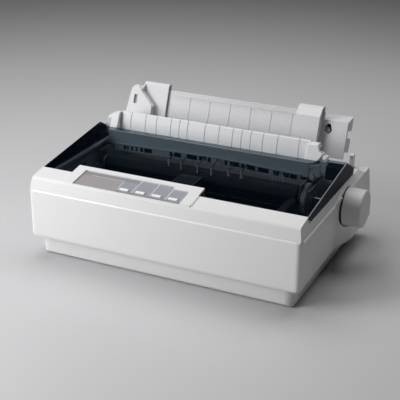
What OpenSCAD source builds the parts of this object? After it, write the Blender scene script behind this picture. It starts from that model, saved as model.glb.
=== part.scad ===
// Office dot matrix printer: a flat case with a hinged smoked cover over the
// platen, print head and ribbon, push tractors at the rear, a tilting sheet
// guide and a paper feed knob on the right.
// +X is the viewer's right, +Y the rear and +Z up.  The origin lies on the
// table under the centre of the case.  Depths are measured from the front face.

/* [Case] */
// Room from the left end of the platen to the outside of the case
left_room = 26; // [25:0.5:32]
// Room from the right end of the platen to the outside of the case, over the gears
right_room = 56; // [55:0.5:64]
// Room from the tractor shaft to the back of the rear wall
rear_room = 19; // [18.5:0.5:26]
// Height of the seam between the lower and the upper case
seam_z = 28; // [24:0.5:30]
// Height of the band from the crease line up to the shoulder over the front face
band_h = 17; // [14:0.5:18]
// How far the shoulder stands behind the front face
shoulder_back = 5.1; // [3:0.1:8]
// Depth of the front lip, front face to the cover
lip_d = 28; // [24:0.5:32]
// Width of the rim beside the cover
rim_w = 6; // [5:0.5:6.5]
// Wall thickness of the case mouldings
wall = 2.6; // [2:0.1:3.2]
// Inset of the lower case under the upper case
lower_inset = 8.2; // [7:0.1:9]
// Radius of the upper case's vertical corners
case_corner_r = 6; // [3:0.5:9]
// Height of the rubber feet
foot_h = 2; // [1:0.5:4]
// Radius of the rubber feet
foot_r = 9; // [6:0.5:11]
// How far the side wall swells out round the knob
pod_swell = 10; // [6:0.5:12]

/* [Control panel] */
// Left edge of the raised panel frame, from the left side of the case
panel_left = 45; // [40:1:48]
// Width of the raised panel frame
panel_w = 163; // [158:1:168]
// Depth of the panel frame, front face to its rear edge
panel_d = 44; // [43:0.5:45]
// How far the panel frame stands proud of the lip
panel_proud = 1; // [0.5:0.1:1.6]
// Width of the button bars
button_w = 11; // [8:0.5:13]
// Spacing of the four buttons
button_pitch = 20.6; // [18:0.2:21]

/* [Platen] */
// Radius of the platen roller
platen_r = 14; // [12.5:0.5:14]
// Length of the platen roller, ten inch paper and a margin
platen_len = 258; // [254:1:262]
// Depth of the platen axis behind the front face
platen_depth = 145.5; // [145:0.5:146]
// Height of the platen axis
platen_z = 71.6; // [70.6:0.2:72.6]
// Radius of the platen shaft
platen_shaft_r = 4; // [3:0.5:5]
// Radius of the paper feed knob
knob_r = 22.8; // [20:0.2:23.2]
// Length of the paper feed knob
knob_len = 24; // [18:1:28]
// Radius of the pinch rollers under the platen
pinch_r = 6; // [5.8:0.1:6.4]

/* [Gears] */
// Module of the feed gears
gear_module = 1; // [0.98:0.01:1]
// Face width of the feed gears
gear_w = 5; // [3:0.5:6]
// Teeth of the platen gear
platen_teeth = 36; // [36:1:36]
// Teeth of the idler gear
idler_teeth = 38; // [38:1:38]
// Teeth of the tractor gear
tractor_teeth = 28; // [28:1:28]
// Teeth of the tension roller gear
tension_teeth = 21; // [21:1:21]
// Teeth of the feed motor pinion
pinion_teeth = 16; // [16:1:16]
// Backlash of a tooth pair at the pitch circle
backlash = 0.16; // [0.12:0.02:0.24]

/* [Carriage] */
// Radius of the carriage shaft
carriage_shaft_r = 4; // [3:0.5:4.5]
// Width of the carriage
carriage_w = 36; // [32:1:37]
// Radius of the belt pulleys
pulley_r = 6; // [5.5:0.1:6.2]
// Width of the timing belt
belt_w = 6; // [4:0.5:6]
// Radius of the two stepping motors
motor_r = 17.5; // [15:0.5:17.6]

/* [Tractors] */
// Width of one tractor body
tractor_w = 20; // [18:1:21]
// Pins on one pin wheel
tractor_pins = 5; // [5:1:5]
// Spacing of the paper's feed holes
pin_pitch = 12.7; // [12.4:0.1:12.8]

/* [Sheet guide] */
// Lean of the sheet guide behind the vertical
guide_lean = 20; // [16:1:24]
// Length of the sheet guide above its pivot
guide_len = 69; // [62:1:72]
// Thickness of the sheet guide plate
guide_t = 3; // [2:0.2:3.4]
// Width of one edge guide
edge_guide_w = 31.5; // [29:0.5:34]

/* [Cover] */
// Height of the cover's rear edge above the rim of the case
cover_rise = 25; // [24:0.5:27]
// Wall thickness of the smoked cover
cover_t = 2.5; // [2:0.1:2.8]
// Gap between the cover and the case
cover_gap = 0.3; // [0.3:0.1:0.6]
// Chamfer along the cover's two top edges
cover_chamfer = 1.2; // [0.8:0.1:1.6]

/* [Hidden] */

// Running clearance round a shaft, and the gap between parts that move past each other
run_gap = 0.05;
side_gap = 0.3;
// Slip between pieces that are pressed or set into each other
seat_gap = 0.02;
fine = 48;

function pitch_r(teeth) = gear_module * teeth / 2;
function mesh_d(a, b) = pitch_r(a) + pitch_r(b);
feed_train = mesh_d(platen_teeth, idler_teeth) + mesh_d(idler_teeth, tractor_teeth);
case_w = left_room + platen_len + right_room;
case_d = platen_depth + feed_train + rear_room;
paper_x = (left_room - right_room) / 2;
case_x = case_w / 2;
front_y = -case_d / 2;
rear_y = case_d / 2;
function behind(depth) = front_y + depth;

// Heights and depths that follow the platen
platen_y = behind(platen_depth);
frame_top_z = platen_z + 20.4;
rim_z = frame_top_z + 2.5;
pillar_z = frame_top_z - 3.5;
shoulder_z = rim_z + 5.5;
crease_z = shoulder_z - band_h;
function from_platen(depth) = platen_y + depth;

// Case outline
band_in = 3.8;
crease_step = 1.2;
rim_in = case_x - rim_w - 4;
lip_rise = 0.158;
lip_z = shoulder_z + (lip_d - shoulder_back) * lip_rise;
pillar_d = platen_depth + 18;
rim_end_d = platen_depth + 61;
rim_edge_x = case_x - 2.9;
floor_z = foot_h + wall;
rear_wall_z = platen_z - 11.6;
pod_start = platen_depth - 37.5;
pod_top_x = case_x + 3.5;
recess_r = knob_r + 1.7;
recess_x = case_x + 1;

// Metal frames
frame_t = 2;
frame_gap = platen_len + 10;
left_in = paper_x - frame_gap / 2;
right_in = paper_x + frame_gap / 2;
left_out = left_in - frame_t;
right_out = right_in + frame_t;
chassis_z = 8;
chassis_t = 1.5;
cart_z0 = platen_z - 9.6;
frame_front_z = cart_z0 - 2;
frame_front_d = platen_depth - 107.5;
frame_step_d = platen_depth - 17.5;
frame_rear_d = case_d - wall - 1.4;
lower_rear_y = rear_y - 4.5;
chassis_rear_y = lower_rear_y - wall - 0.4;

// Gear train, in the plane just outside the right frame
gear_x0 = right_out + 1;
gear_x1 = gear_x0 + gear_w;
bracket_x0 = right_out + 10;
bracket_x1 = bracket_x0 + frame_t;
// Angle of a driven gear's tooth, so that it fills the space of the gear before it
function mesh_phase(dir, phase_a, a, b) = dir + 180 + 180 / b - (phase_a - dir) * a / b;
idler_y = platen_y + mesh_d(platen_teeth, idler_teeth);
tractor_y = idler_y + mesh_d(idler_teeth, tractor_teeth);
tension_dir = 120.6;
tension_y = idler_y + mesh_d(idler_teeth, tension_teeth) * cos(tension_dir);
tension_z = platen_z + mesh_d(idler_teeth, tension_teeth) * sin(tension_dir);
pinion_dir = -60;
motor_y = platen_y + mesh_d(platen_teeth, pinion_teeth) * cos(pinion_dir);
motor_z = platen_z + mesh_d(platen_teeth, pinion_teeth) * sin(pinion_dir);
idler_phase = mesh_phase(0, 0, platen_teeth, idler_teeth);
tractor_phase = mesh_phase(0, idler_phase, idler_teeth, tractor_teeth);
tension_phase = mesh_phase(tension_dir, idler_phase, idler_teeth, tension_teeth);
pinion_phase = mesh_phase(pinion_dir, 0, platen_teeth, pinion_teeth);

// Carriage and belt
carriage_y = from_platen(-42);
carriage_z = platen_z - 19.6;
belt_y = carriage_y - 28;
belt_z = carriage_z - 8;
belt_t = 1.2;
pulley_half = frame_gap / 2 - motor_r - 0.5;
left_pulley_x = paper_x - pulley_half;
right_pulley_x = paper_x + pulley_half;
flange_r = pulley_r + 2.2;
rail_y = belt_y - 20;
rail_top = carriage_z + 0.7;
nose_y = platen_y - platen_r - 3;

// Pinch rollers
pinch_z = platen_z - platen_r - pinch_r - 0.12;
pinch_shaft_r = 1.5;

// Tractors
wheel_r = pin_pitch * tractor_pins / (2 * PI);
pin_len = 2.3;
square_w = 6;
journal_r = 4;
rod_r = 3;
rod_y = tractor_y - 11.5;
rod_z = platen_z - 11.1;
tractor_low = rod_z - rod_r - 1.5;
tractor_inset = 14;
left_tractor_x = left_in + tractor_inset + 5;
right_tractor_x = right_in - tractor_inset - 5;
tractor_top = platen_z + wheel_r - 0.5;
tractor_hinge_z = tractor_top + 3.3;

// Tension unit
unit_z = frame_top_z + 10;
unit_t = 1.6;
tension_r = 7.5;

// Sheet guide: the plate is drawn flat and then leaned back about its pivot
guide_y = tractor_y + 10;
guide_z = platen_z + 8.4;
guide_pin_r = 2.5;
guide_x0 = left_in + 0.3;
guide_x1 = right_in - 0.4;
edge_lift = 8;
edge_stand = 12.5;
wing_depth = 20;

// Cover
cover_x = case_x - 3.5;
cover_in = cover_x - cover_t;
cover_front_d = lip_d + cover_gap;
cover_hinge_y = idler_y + 4;
cover_hinge_z = rim_z + 4.9;
cover_hinge_r = 4.4;
cover_rear_z = rim_z + cover_rise;
cover_rear_d = platen_depth + 14;
cover_pin_r = 3;
notch_d = 8;
cover_slope = (cover_rear_z - lip_z) / (cover_rear_d - lip_d);
function cover_top(depth) = lip_z + (depth - lip_d) * cover_slope;

// Release lever
lever_x = case_x - 16;
lever_y = tractor_y + 5.5;
lever_z = platen_z - 9.6;

// ---- drawing helpers ----

// Extrudes a (Y, Z) outline from x0 to x1
module along_x(x0, x1) {
    translate([x0, 0, 0]) rotate([90, 0, 90]) linear_extrude(x1 - x0) children();
}

// Extrudes an (X, Z) outline from y0 to y1
module along_y(y0, y1) {
    translate([0, y1, 0]) rotate([90, 0, 0]) linear_extrude(y1 - y0) children();
}

// Extrudes an (X, Y) outline from z0 to z1
module along_z(z0, z1) {
    translate([0, 0, z0]) linear_extrude(z1 - z0) children();
}

// Box between two corners
module block(low, high) {
    translate(low) cube(high - low);
}

module rod_x(x0, x1, y, z, r) {
    translate([x0, y, z]) rotate([0, 90, 0]) cylinder(r = r, h = x1 - x0, $fn = fine);
}

module rod_y(x, y0, y1, z, r) {
    translate([x, y1, z]) rotate([90, 0, 0]) cylinder(r = r, h = y1 - y0, $fn = fine);
}

module rod_z(x, y, z0, z1, r) {
    translate([x, y, z0]) cylinder(r = r, h = z1 - z0, $fn = fine);
}

// Points of an arc, angles in degrees
function arc(cx, cy, r, a0, a1, n = 8) =
    [for (i = [0:n]) [cx + r * cos(a0 + (a1 - a0) * i / n), cy + r * sin(a0 + (a1 - a0) * i / n)]];

// Rectangle with rounded corners: r0 at the low Y side and r1 at the high Y side
function round_box(x0, y0, x1, y1, r0, r1) = concat(
    arc(x0 + r0, y0 + r0, r0, 180, 270), arc(x1 - r0, y0 + r0, r0, 270, 360),
    arc(x1 - r1, y1 - r1, r1, 0, 90), arc(x0 + r1, y1 - r1, r1, 90, 180));

// Loop of a belt round two pulleys of radius r
function stadium(x0, x1, y, r) = concat(arc(x0, y, r, 90, 270, 24), arc(x1, y, r, -90, 90, 24));

// One involute gear outline, tooth centred on the given angle
function involute(base, r) = (r <= base) ? 0 : sqrt(r * r / (base * base) - 1) * 180 / PI - acos(base / r);
function tooth_half(teeth, r) = 90 / teeth - backlash / 2 / (2 * pitch_r(teeth)) * 180 / PI
    + involute(pitch_r(teeth) * cos(20), pitch_r(teeth)) - involute(pitch_r(teeth) * cos(20), r);
function tooth_radii(teeth) = let (root = pitch_r(teeth) - 1.2 * gear_module,
    flank = max(root + 0.05, pitch_r(teeth) * cos(20) + 0.01), tip = pitch_r(teeth) + 0.92 * gear_module)
    [root, flank, flank + (tip - flank) * 0.3, flank + (tip - flank) * 0.65, tip];
function gear_outline(teeth, phase) = [for (i = [0:teeth - 1])
    for (side = [-1, 1])
        for (j = [0:4])
            let (rad = tooth_radii(teeth)[side < 0 ? j : 4 - j],
                a = phase + i * 360 / teeth + side * tooth_half(teeth, rad))
            rad * [cos(a), sin(a)]];

module gear_x(x0, x1, y, z, teeth, phase, bore) {
    difference() {
        along_x(x0, x1) translate([y, z]) polygon(gear_outline(teeth, phase));
        rod_x(x0 - 1, x1 + 1, y, z, bore);
    }
}

// ---- case ----

// Side profile of the upper case, shrunk inwards by t
function case_side(t) = [
    [behind(t), seam_z - (t > 0 ? 1 : 0)],
    [behind(t), crease_z],
    [behind(crease_step + t), crease_z + crease_step],
    [behind(shoulder_back - 1.1 + t), shoulder_z - 3 - t],
    [behind(shoulder_back - 0.2 + t), shoulder_z - 1.2 - t],
    [behind(shoulder_back + 1.4 + t), shoulder_z - t],
    [behind(lip_d), lip_z - t],
    [behind(lip_d), rim_z - t],
    [behind(pillar_d), rim_z - t],
    [behind(pillar_d + 6), pillar_z - t],
    [rear_y - t, pillar_z - t],
    [rear_y - t, seam_z - (t > 0 ? 1 : 0)]];

// Front profile of the upper case, shrunk inwards by t
function case_front(t) = let (w = case_x - t, low = seam_z - (t > 0 ? 1 : 0), top = shoulder_z + 20) [
    [-w, low], [w, low], [w, crease_z], [w - crease_step, crease_z + crease_step],
    [w - band_in, shoulder_z], [w - band_in, top], [-w + band_in, top], [-w + band_in, shoulder_z],
    [-w + crease_step, crease_z + crease_step], [-w, crease_z]];

// Rim that runs on past the cover hinge and then slopes down to the rear shoulder
module rear_rims() {
    for (s = [-1, 1]) intersection() {
        along_x(s > 0 ? rim_in : -case_x, s > 0 ? case_x : -rim_in)
            polygon([[behind(pillar_d - 1), pillar_z - 1], [behind(pillar_d - 1), rim_z],
                [behind(rim_end_d), rim_z], [behind(rim_end_d + 3), rim_z - 1],
                [behind(rim_end_d + 9), pillar_z - 0.2], [behind(rim_end_d + 9), pillar_z - 1]]);
        along_y(front_y, rear_y) polygon(case_front(0));
    }
}

module case_body(t) {
    intersection() {
        along_x(-case_x - 1, case_x + 1) polygon(case_side(t));
        along_y(front_y - 1, rear_y + 1) polygon(case_front(t));
        along_z(seam_z - 2, shoulder_z + 20)
            polygon(round_box(-case_x + t, front_y + t, case_x - t, rear_y - t,
                case_corner_r, case_corner_r));
    }
}

// Swelling of the right wall round the knob, shrunk inwards by t
module pod(t) {
    steps = 10;
    far_x = case_x + pod_swell - t;
    bulge = [for (i = [0:steps])
        [case_x - t + (pod_swell) * (1 - cos(180 * i / steps)) / 2, behind(pod_start + i * 5)]];
    // On the outside the top leans up from the swelling's edge to the rim
    inner = pillar_z - t;
    intersection() {
        along_z(seam_z - (t > 0 ? 1 : 0), t > 0 ? inner : rim_z)
            polygon(concat([[case_x - 8, behind(pod_start)]], bulge,
                [[far_x, rear_y - 6], [far_x - 2, rear_y - 2], [far_x - 6, rear_y - t],
                [case_x - 8, rear_y - t]]));
        along_y(front_y, rear_y)
            polygon([[case_x - 8, seam_z - 2], [pod_top_x - t + (pillar_z - seam_z + 2) * 0.11, seam_z - 2],
                [pod_top_x - t, pillar_z], [rim_edge_x, t > 0 ? pillar_z : rim_z],
                [case_x - 8, t > 0 ? pillar_z : rim_z]]);
        along_x(case_x - 10, case_x + 20)
            polygon([[behind(pod_start - 1), seam_z - 2], [rear_y + 1, seam_z - 2], [rear_y + 1, pillar_z],
                [behind(rim_end_d + 9), pillar_z], [behind(rim_end_d), t > 0 ? pillar_z : rim_z],
                [from_platen(4.5), t > 0 ? pillar_z : rim_z], [behind(pod_start - 1), crease_z + 1]]);
    }
}

function panel_top(depth) = shoulder_z + panel_proud + (depth - shoulder_back) * lip_rise;
panel_x0 = -case_x + panel_left;
panel_x1 = panel_x0 + panel_w;
recess_x0 = panel_x0 + 13.5;
recess_x1 = panel_x1 - 13;
recess_d0 = 5.2;
recess_d1 = 36.5;
recess_deep = 1.8;
film_t = 0.5;
// The last key field ends short of the others, at a ledge
ledge_x = recess_x1 - 20;
ledge_d = recess_d1 - 5;

module panel_block(drop) {
    along_x(panel_x0 + drop, panel_x1 - drop)
        polygon([[behind(shoulder_back - 0.6 + drop), shoulder_z - 2.2],
            [behind(shoulder_back + 0.3 + drop), panel_top(shoulder_back) - drop],
            [behind(panel_d - drop), panel_top(panel_d) - drop],
            [behind(panel_d - drop), shoulder_z - 4 - drop], [behind(lip_d - 8), shoulder_z - 8 - drop],
            [behind(shoulder_back + 4), crease_z + 3]]);
}

// Slab between two heights below the sloping panel top, over a depth range
module panel_slab(x0, x1, d0, d1, below0, below1) {
    along_x(x0, x1)
        polygon([[behind(d0), panel_top(d0) - below0], [behind(d1), panel_top(d1) - below0],
            [behind(d1), panel_top(d1) - below1], [behind(d0), panel_top(d0) - below1]]);
}

screw_x = [-case_x + 20, case_x - 20];
rear_post_x = [-case_x + 13, case_x - 20];
front_post_y = behind(20);
rear_post_y = from_platen(49.5);
post_r = 4;
screw_r = 1.5;

switch_y = from_platen(4.5);
switch_z = platen_z - 15.6;
rocker_r = 9.5;
button_d = 12.2;
button_l = 3.4;
first_button_x = panel_x0 + 77.1;
function button_x(i) = first_button_x + i * button_pitch;

inlet_x = left_in + 34;
inlet_z = rear_wall_z - 16;
inlet_w = 28;
inlet_h = 21;
parallel_x = right_in - 57;
serial_x = paper_x + 17;
board_z = 30;

module case_shell(t) {
    case_body(t);
    pod(t);
    panel_block(t);
    if (t == 0) rear_rims();
}

module upper_case() color("gainsboro") {
    difference() {
        union() {
            difference() {
                case_shell(0);
                difference() {
                    case_shell(wall);
                    panel_slab(recess_x0 - wall, recess_x1 + wall, 0, recess_d1 + wall, -1,
                        recess_deep + wall);
                }
            }
            // Cup round the knob
            intersection() {
                case_shell(0);
                rod_x(recess_x - wall, case_x + 30, platen_y, platen_z, recess_r + wall);
            }
        }
        // Well over the mechanism, open to the rear between the shoulders
        block([-rim_in, behind(panel_d), rear_wall_z], [rim_in, behind(pillar_d), 130]);
        block([-rim_in, behind(lip_d), rear_wall_z], [panel_x0, behind(panel_d + 1), 130]);
        block([panel_x1, behind(lip_d), rear_wall_z], [rim_in, behind(panel_d + 1), 130]);
        block([left_out - 1, behind(pillar_d - 1), rear_wall_z], [case_x - 25, rear_y + 1, 130]);
        // Space behind the front edge of the panel frame
        block([panel_x0 + wall, behind(recess_d1 + wall), shoulder_z - 30],
            [panel_x1 - wall, behind(panel_d - wall), shoulder_z]);
        panel_slab(recess_x0, ledge_x, recess_d0, recess_d1, -1, recess_deep);
        panel_slab(ledge_x - 1, recess_x1, recess_d0, ledge_d, -1, recess_deep);
        // Button wells through the recess floor
        for (i = [0:3])
            panel_slab(button_x(i) - button_w / 2 - side_gap, button_x(i) + button_w / 2 + side_gap,
                button_d - button_l / 2 - side_gap, button_d + button_l / 2 + side_gap, 0, 20);
        // Knob recess and the hole for the platen shaft
        rod_x(recess_x, case_x + 30, platen_y, platen_z, recess_r);
        rod_x(case_x - 10, recess_x + 1, platen_y, platen_z, platen_shaft_r + 2);
        // Slot for the release lever
        block([lever_x - 3.2, lever_y - 13, pillar_z - wall - 1], [lever_x + 3.2, lever_y + 9,
            pillar_z + 1]);
        // Window for the power switch
        block([-case_x - 1, switch_y - 10.2, switch_z - 7], [-case_x + wall + 1, switch_y + 10.2,
            switch_z + 7]);
        // Openings for the rear connectors
        block([inlet_x - inlet_w / 2 - 0.2, rear_y - wall - 1, inlet_z - inlet_h / 2 - 0.2],
            [inlet_x + inlet_w / 2 + 0.2, rear_y + 1, inlet_z + inlet_h / 2 + 0.2]);
        block([parallel_x - 31, rear_y - wall - 1, board_z + 1.6], [parallel_x + 31, rear_y + 1,
            board_z + 15]);
        block([serial_x - 17, rear_y - wall - 1, board_z + 1.6], [serial_x + 17, rear_y + 1, board_z + 14]);
    }
    // Screw posts that reach down to the lower case
    for (x = screw_x) difference() {
        rod_z(x, front_post_y, seam_z, shoulder_z + 1.2, post_r);
        rod_z(x, front_post_y, seam_z - 1, seam_z + 14, screw_r);
    }
    for (x = rear_post_x) difference() {
        rod_z(x, rear_post_y, seam_z, pillar_z - wall + 0.2, post_r);
        rod_z(x, rear_post_y, seam_z - 1, seam_z + 14, screw_r);
    }
    // Ears and pins of the cover hinge
    for (s = [-1, 1]) {
        block([s > 0 ? cover_in - 5.2 : -cover_in + 1.2, cover_hinge_y - 5, pillar_z - 1.5],
            [s > 0 ? cover_in - 1.2 : -cover_in + 5.2, cover_hinge_y + 5, cover_hinge_z]);
        rod_x(s > 0 ? cover_in - 5.2 : -cover_in + 1.2, s > 0 ? cover_in - 1.2 : -cover_in + 5.2,
            cover_hinge_y, cover_hinge_z, cover_hinge_r + 0.8);
        rod_x(s > 0 ? cover_in - 2 : -cover_x + 0.1, s > 0 ? cover_x - 0.1 : -cover_in + 2,
            cover_hinge_y, cover_hinge_z, cover_pin_r);
    }
    // Lugs that carry the rocker of the power switch
    for (s = [-1, 1])
        block([-case_x + wall - 0.1, switch_y - 3, switch_z + (s > 0 ? 6.6 : -9)],
            [-case_x + 14, switch_y + 3, switch_z + (s > 0 ? 9 : -6.6)]);
    rod_z(-case_x + 8, switch_y, switch_z - 7, switch_z + 7, 1.5);
}

module lower_case() color("silver") {
    x = case_x - lower_inset;
    y0 = front_y + lower_inset;
    y1 = lower_rear_y;
    difference() {
        union() {
            along_z(foot_h + 2.5, seam_z) polygon(round_box(-x, y0, x, y1, 12, 8));
            intersection() {
                along_z(foot_h, foot_h + 2.5) polygon(round_box(-x, y0, x, y1, 12, 8));
                along_x(-x, x) polygon([[y0 + 2.5, foot_h], [y1 - 2.5, foot_h], [y1, foot_h + 2.5],
                    [y0, foot_h + 2.5]]);
                along_y(y0, y1) polygon([[-x + 2.5, foot_h], [x - 2.5, foot_h], [x, foot_h + 2.5],
                    [-x, foot_h + 2.5]]);
            }
        }
        along_z(floor_z, seam_z + 1) polygon(round_box(-x + wall, y0 + wall, x - wall, y1 - wall, 10, 6));
        for (px = screw_x) {
            rod_z(px, front_post_y, foot_h - 1, seam_z, screw_r + 0.2);
            rod_z(px, front_post_y, foot_h - 1, foot_h + 1.6, 3.4);
        }
        for (px = rear_post_x) {
            rod_z(px, rear_post_y, foot_h - 1, seam_z, screw_r + 0.2);
            rod_z(px, rear_post_y, foot_h - 1, foot_h + 1.6, 3.4);
        }
        for (i = [0:9])
            block([-90 + i * 20, rear_y - 90, foot_h - 1], [-86 + i * 20, rear_y - 60, floor_z + 1]);
    }
    // Flange that closes the seam under the upper case
    difference() {
        along_z(seam_z - 2.4, seam_z) polygon(round_box(-case_x + 0.8, front_y + 0.8, case_x - 0.8,
            rear_y - 0.8, case_corner_r, case_corner_r));
        along_z(seam_z - 3, seam_z + 1) polygon(round_box(-x + wall, y0 + wall, x - wall, y1 - wall, 10,
            6));
    }
    // Hollow bosses under the screw posts
    for (px = screw_x) difference() {
        rod_z(px, front_post_y, floor_z - 0.5, seam_z, post_r);
        rod_z(px, front_post_y, foot_h - 1, seam_z + 1, screw_r + 0.2);
    }
    for (px = rear_post_x) difference() {
        rod_z(px, rear_post_y, floor_z - 0.5, seam_z, post_r);
        rod_z(px, rear_post_y, foot_h - 1, seam_z + 1, screw_r + 0.2);
    }
    // Pads that carry the chassis plate
    for (px = [left_in + 8, right_in - 8], py = [-100.5, 69.5])
        rod_z(px, from_platen(py), floor_z - 0.5, chassis_z - chassis_t, 5);
}

foot_x = case_x - 35;
foot_y = [behind(28), from_platen(61.5)];

module rubber_feet() color("dimgray") {
    for (x = [-foot_x, foot_x], y = foot_y)
        translate([x, y, 0]) rotate_extrude($fn = fine)
            polygon([[0, 0], [foot_r - 0.8, 0], [foot_r, 0.8], [foot_r, foot_h], [0, foot_h]]);
}

module screw(x, y) {
    rod_z(x, y, foot_h + 0.2, foot_h + 1.6, 3);
    rod_z(x, y, foot_h + 0.4, seam_z + 12, screw_r - seat_gap);
}

module case_screws() color("lightgray") {
    for (x = screw_x) screw(x, front_post_y);
    for (x = rear_post_x) screw(x, rear_post_y);
}

module panel_plate() color("darkgray") {
    difference() {
        union() {
            panel_slab(recess_x0 + 0.1, ledge_x - 0.1, recess_d0 + 0.1, recess_d1 - 0.1,
                recess_deep - film_t, recess_deep);
            panel_slab(ledge_x - 1, recess_x1 - 0.1, recess_d0 + 0.1, ledge_d - 0.1,
                recess_deep - film_t, recess_deep);
        }
        for (i = [0:3])
            panel_slab(button_x(i) - button_w / 2 - side_gap, button_x(i) + button_w / 2 + side_gap,
                button_d - button_l / 2 - side_gap, button_d + button_l / 2 + side_gap, 0, 20);
        for (i = [0:2]) lamp_hole(i, 0.1);
    }
}

// A button bar with a retaining skirt under the recess floor
module button_bar(i) color("white") {
    panel_slab(button_x(i) - button_w / 2, button_x(i) + button_w / 2,
        button_d - button_l / 2, button_d + button_l / 2, recess_deep - film_t - 1.2,
            recess_deep + wall + 2);
    panel_slab(button_x(i) - button_w / 2 - 1.5, button_x(i) + button_w / 2 + 1.5,
        button_d - button_l / 2 - 0.8, button_d + button_l / 2 + 1, recess_deep + wall + 0.3,
        recess_deep + wall + 2);
}

module pitch_button() button_bar(0);
module tear_off_button() button_bar(1);
module feed_button() button_bar(2);
module pause_button() button_bar(3);

// Small round lamps behind the film, one over each of three buttons
module lamp_hole(i, grow) {
    translate([button_x(i) + 2, behind(30), panel_top(30)]) rotate([atan(lip_rise), 0, 0])
        translate([0, 0, -recess_deep - 0.6]) cylinder(r = 1.4 + grow, h = 3, $fn = fine);
}

module status_lamps() color("limegreen") {
    for (i = [0:2]) intersection() {
        lamp_hole(i, 0);
        panel_slab(button_x(i) - 5, button_x(i) + 9, 20, 40, recess_deep - film_t, recess_deep);
    }
}

// ---- frames ----

module frame_plate(x0, x1) {
    difference() {
        along_x(x0, x1) polygon([
            [behind(frame_front_d), chassis_z], [behind(frame_front_d), frame_front_z],
            [behind(frame_step_d), frame_front_z], [behind(frame_step_d + 4), frame_top_z],
            [from_platen(58.5), frame_top_z], [from_platen(70.5), frame_top_z - 5.5],
            [behind(frame_rear_d), frame_top_z - 5.5], [behind(frame_rear_d), seam_z + 2],
            [chassis_rear_y, seam_z + 2], [chassis_rear_y, chassis_z]]);
        rod_x(x0 - 1, x1 + 1, platen_y, platen_z, platen_shaft_r + 3 + seat_gap);
        rod_x(x0 - 1, x1 + 1, carriage_y, carriage_z, carriage_shaft_r + seat_gap);
        rod_x(x0 - 1, x1 + 1, platen_y, pinch_z, pinch_shaft_r + run_gap);
        rod_x(x0 - 1, x1 + 1, tractor_y, platen_z, journal_r + run_gap);
        rod_x(x0 - 1, x1 + 1, rod_y, rod_z, rod_r + seat_gap);
        // Lightening windows
        along_x(x0 - 1, x1 + 1) polygon([[from_platen(-85.5), 16], [from_platen(-55.5), 16],
            [from_platen(-55.5), 38], [from_platen(-85.5), 38]]);
        along_x(x0 - 1, x1 + 1) polygon([[from_platen(34.5), 18], [from_platen(69.5), 18],
            [from_platen(69.5), 46],
            [from_platen(34.5), 46]]);
    }
}

module left_side_frame() color("lightsteelblue") {
    frame_plate(left_out, left_in);
    rod_x(left_in - 1, left_in + 3.6, guide_y, guide_z, guide_pin_r);
}

module right_side_frame() color("lightsteelblue") {
    difference() {
        union() {
            frame_plate(right_in, right_out);
            rod_x(right_in - 3.7, right_in + 1, guide_y, guide_z, guide_pin_r);
            // Fixed axle of the idler gear
            rod_x(right_in + 0.5, bracket_x0 - 0.3, idler_y, platen_z, 2.5);
            // Stand-offs of the gear bracket
            for (p = [[-5.5, 24], [76.5, 30]])
                rod_x(right_in + 0.5, bracket_x0, from_platen(p[0]), p[1], 3);
        }
        for (p = [[-5.5, 24], [76.5, 30]])
            rod_x(right_in + 4, bracket_x0 + 1, from_platen(p[0]), p[1], 1.2);
    }
}

module gear_bracket() color("slategray") {
    difference() {
        union() {
            along_x(bracket_x0, bracket_x1) polygon([
                [from_platen(-17.5), chassis_z], [from_platen(-17.5), platen_z + 16.4],
                    [from_platen(54.5), platen_z + 16.4],
                [from_platen(60.5), guide_z],
                [chassis_rear_y, guide_z], [chassis_rear_y, chassis_z]]);
            rod_x(bracket_x0 + 0.5, lever_x + 3, lever_y, lever_z, 2.5);
        }
        rod_x(bracket_x0 - 1, bracket_x1 + 1, platen_y, platen_z, platen_shaft_r + 2);
        rod_x(bracket_x0 - 1, bracket_x1 + 1, motor_y, motor_z, 5);
        rod_x(bracket_x0 - 1, bracket_x1 + 1, tractor_y, platen_z, 5);
        for (p = [[-5.5, 24], [76.5, 30]])
            rod_x(bracket_x0 - 1, bracket_x1 + 1, from_platen(p[0]), p[1], 1.6);
    }
}

module chassis_plate() color("lightslategray") {
    difference() {
        union() {
            block([left_out - 3, from_platen(-111.5), chassis_z - chassis_t],
                [bracket_x1 + 21, chassis_rear_y, chassis_z]);
            // Post of the belt's idler pulley, with a collar under the pulley
            rod_z(right_pulley_x, belt_y, chassis_z - 1, belt_z + belt_w + 3, 2);
            rod_z(right_pulley_x, belt_y, chassis_z - 1, belt_z - 2, 5);
        }
        for (i = [0:4])
            block([paper_x - 85 + i * 36, from_platen(-45.5), chassis_z - 3],
                [paper_x - 65 + i * 36, from_platen(-29.5), chassis_z + 1]);
        for (x = screw_x) rod_z(x, front_post_y, 0, 20, post_r + 1);
        for (x = rear_post_x) rod_z(x, rear_post_y, 0, 20, post_r + 1);
    }
}

module carriage_shaft() color("white") {
    rod_x(left_out - 1, right_out + 0.5, carriage_y, carriage_z, carriage_shaft_r);
    rod_x(left_out - 6, left_out - 0.5, carriage_y, carriage_z, 2.5);
}

module front_guide_rail() color("lightsteelblue") {
    difference() {
        block([left_in, rail_y - 1, chassis_z], [right_in, rail_y + 1, rail_top]);
        for (i = [0:3])
            block([paper_x - 103 + i * 58, rail_y - 3, chassis_z + 8],
                [paper_x - 75 + i * 58, rail_y + 3, rail_top - 14.7]);
    }
}

module bush(x0, x1, flange_x0, flange_x1) {
    difference() {
        union() {
            rod_x(x0, x1, platen_y, platen_z, platen_shaft_r + 3);
            rod_x(flange_x0, flange_x1, platen_y, platen_z, platen_shaft_r + 5);
        }
        rod_x(x0 - 3, x1 + 3, platen_y, platen_z, platen_shaft_r + run_gap);
    }
}

module platen_bushes() color("ivory") {
    bush(left_out, left_in, left_in, left_in + 1.5);
    bush(right_in, right_out, right_in - 1.5, right_in);
}

// ---- paper path ----

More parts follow.
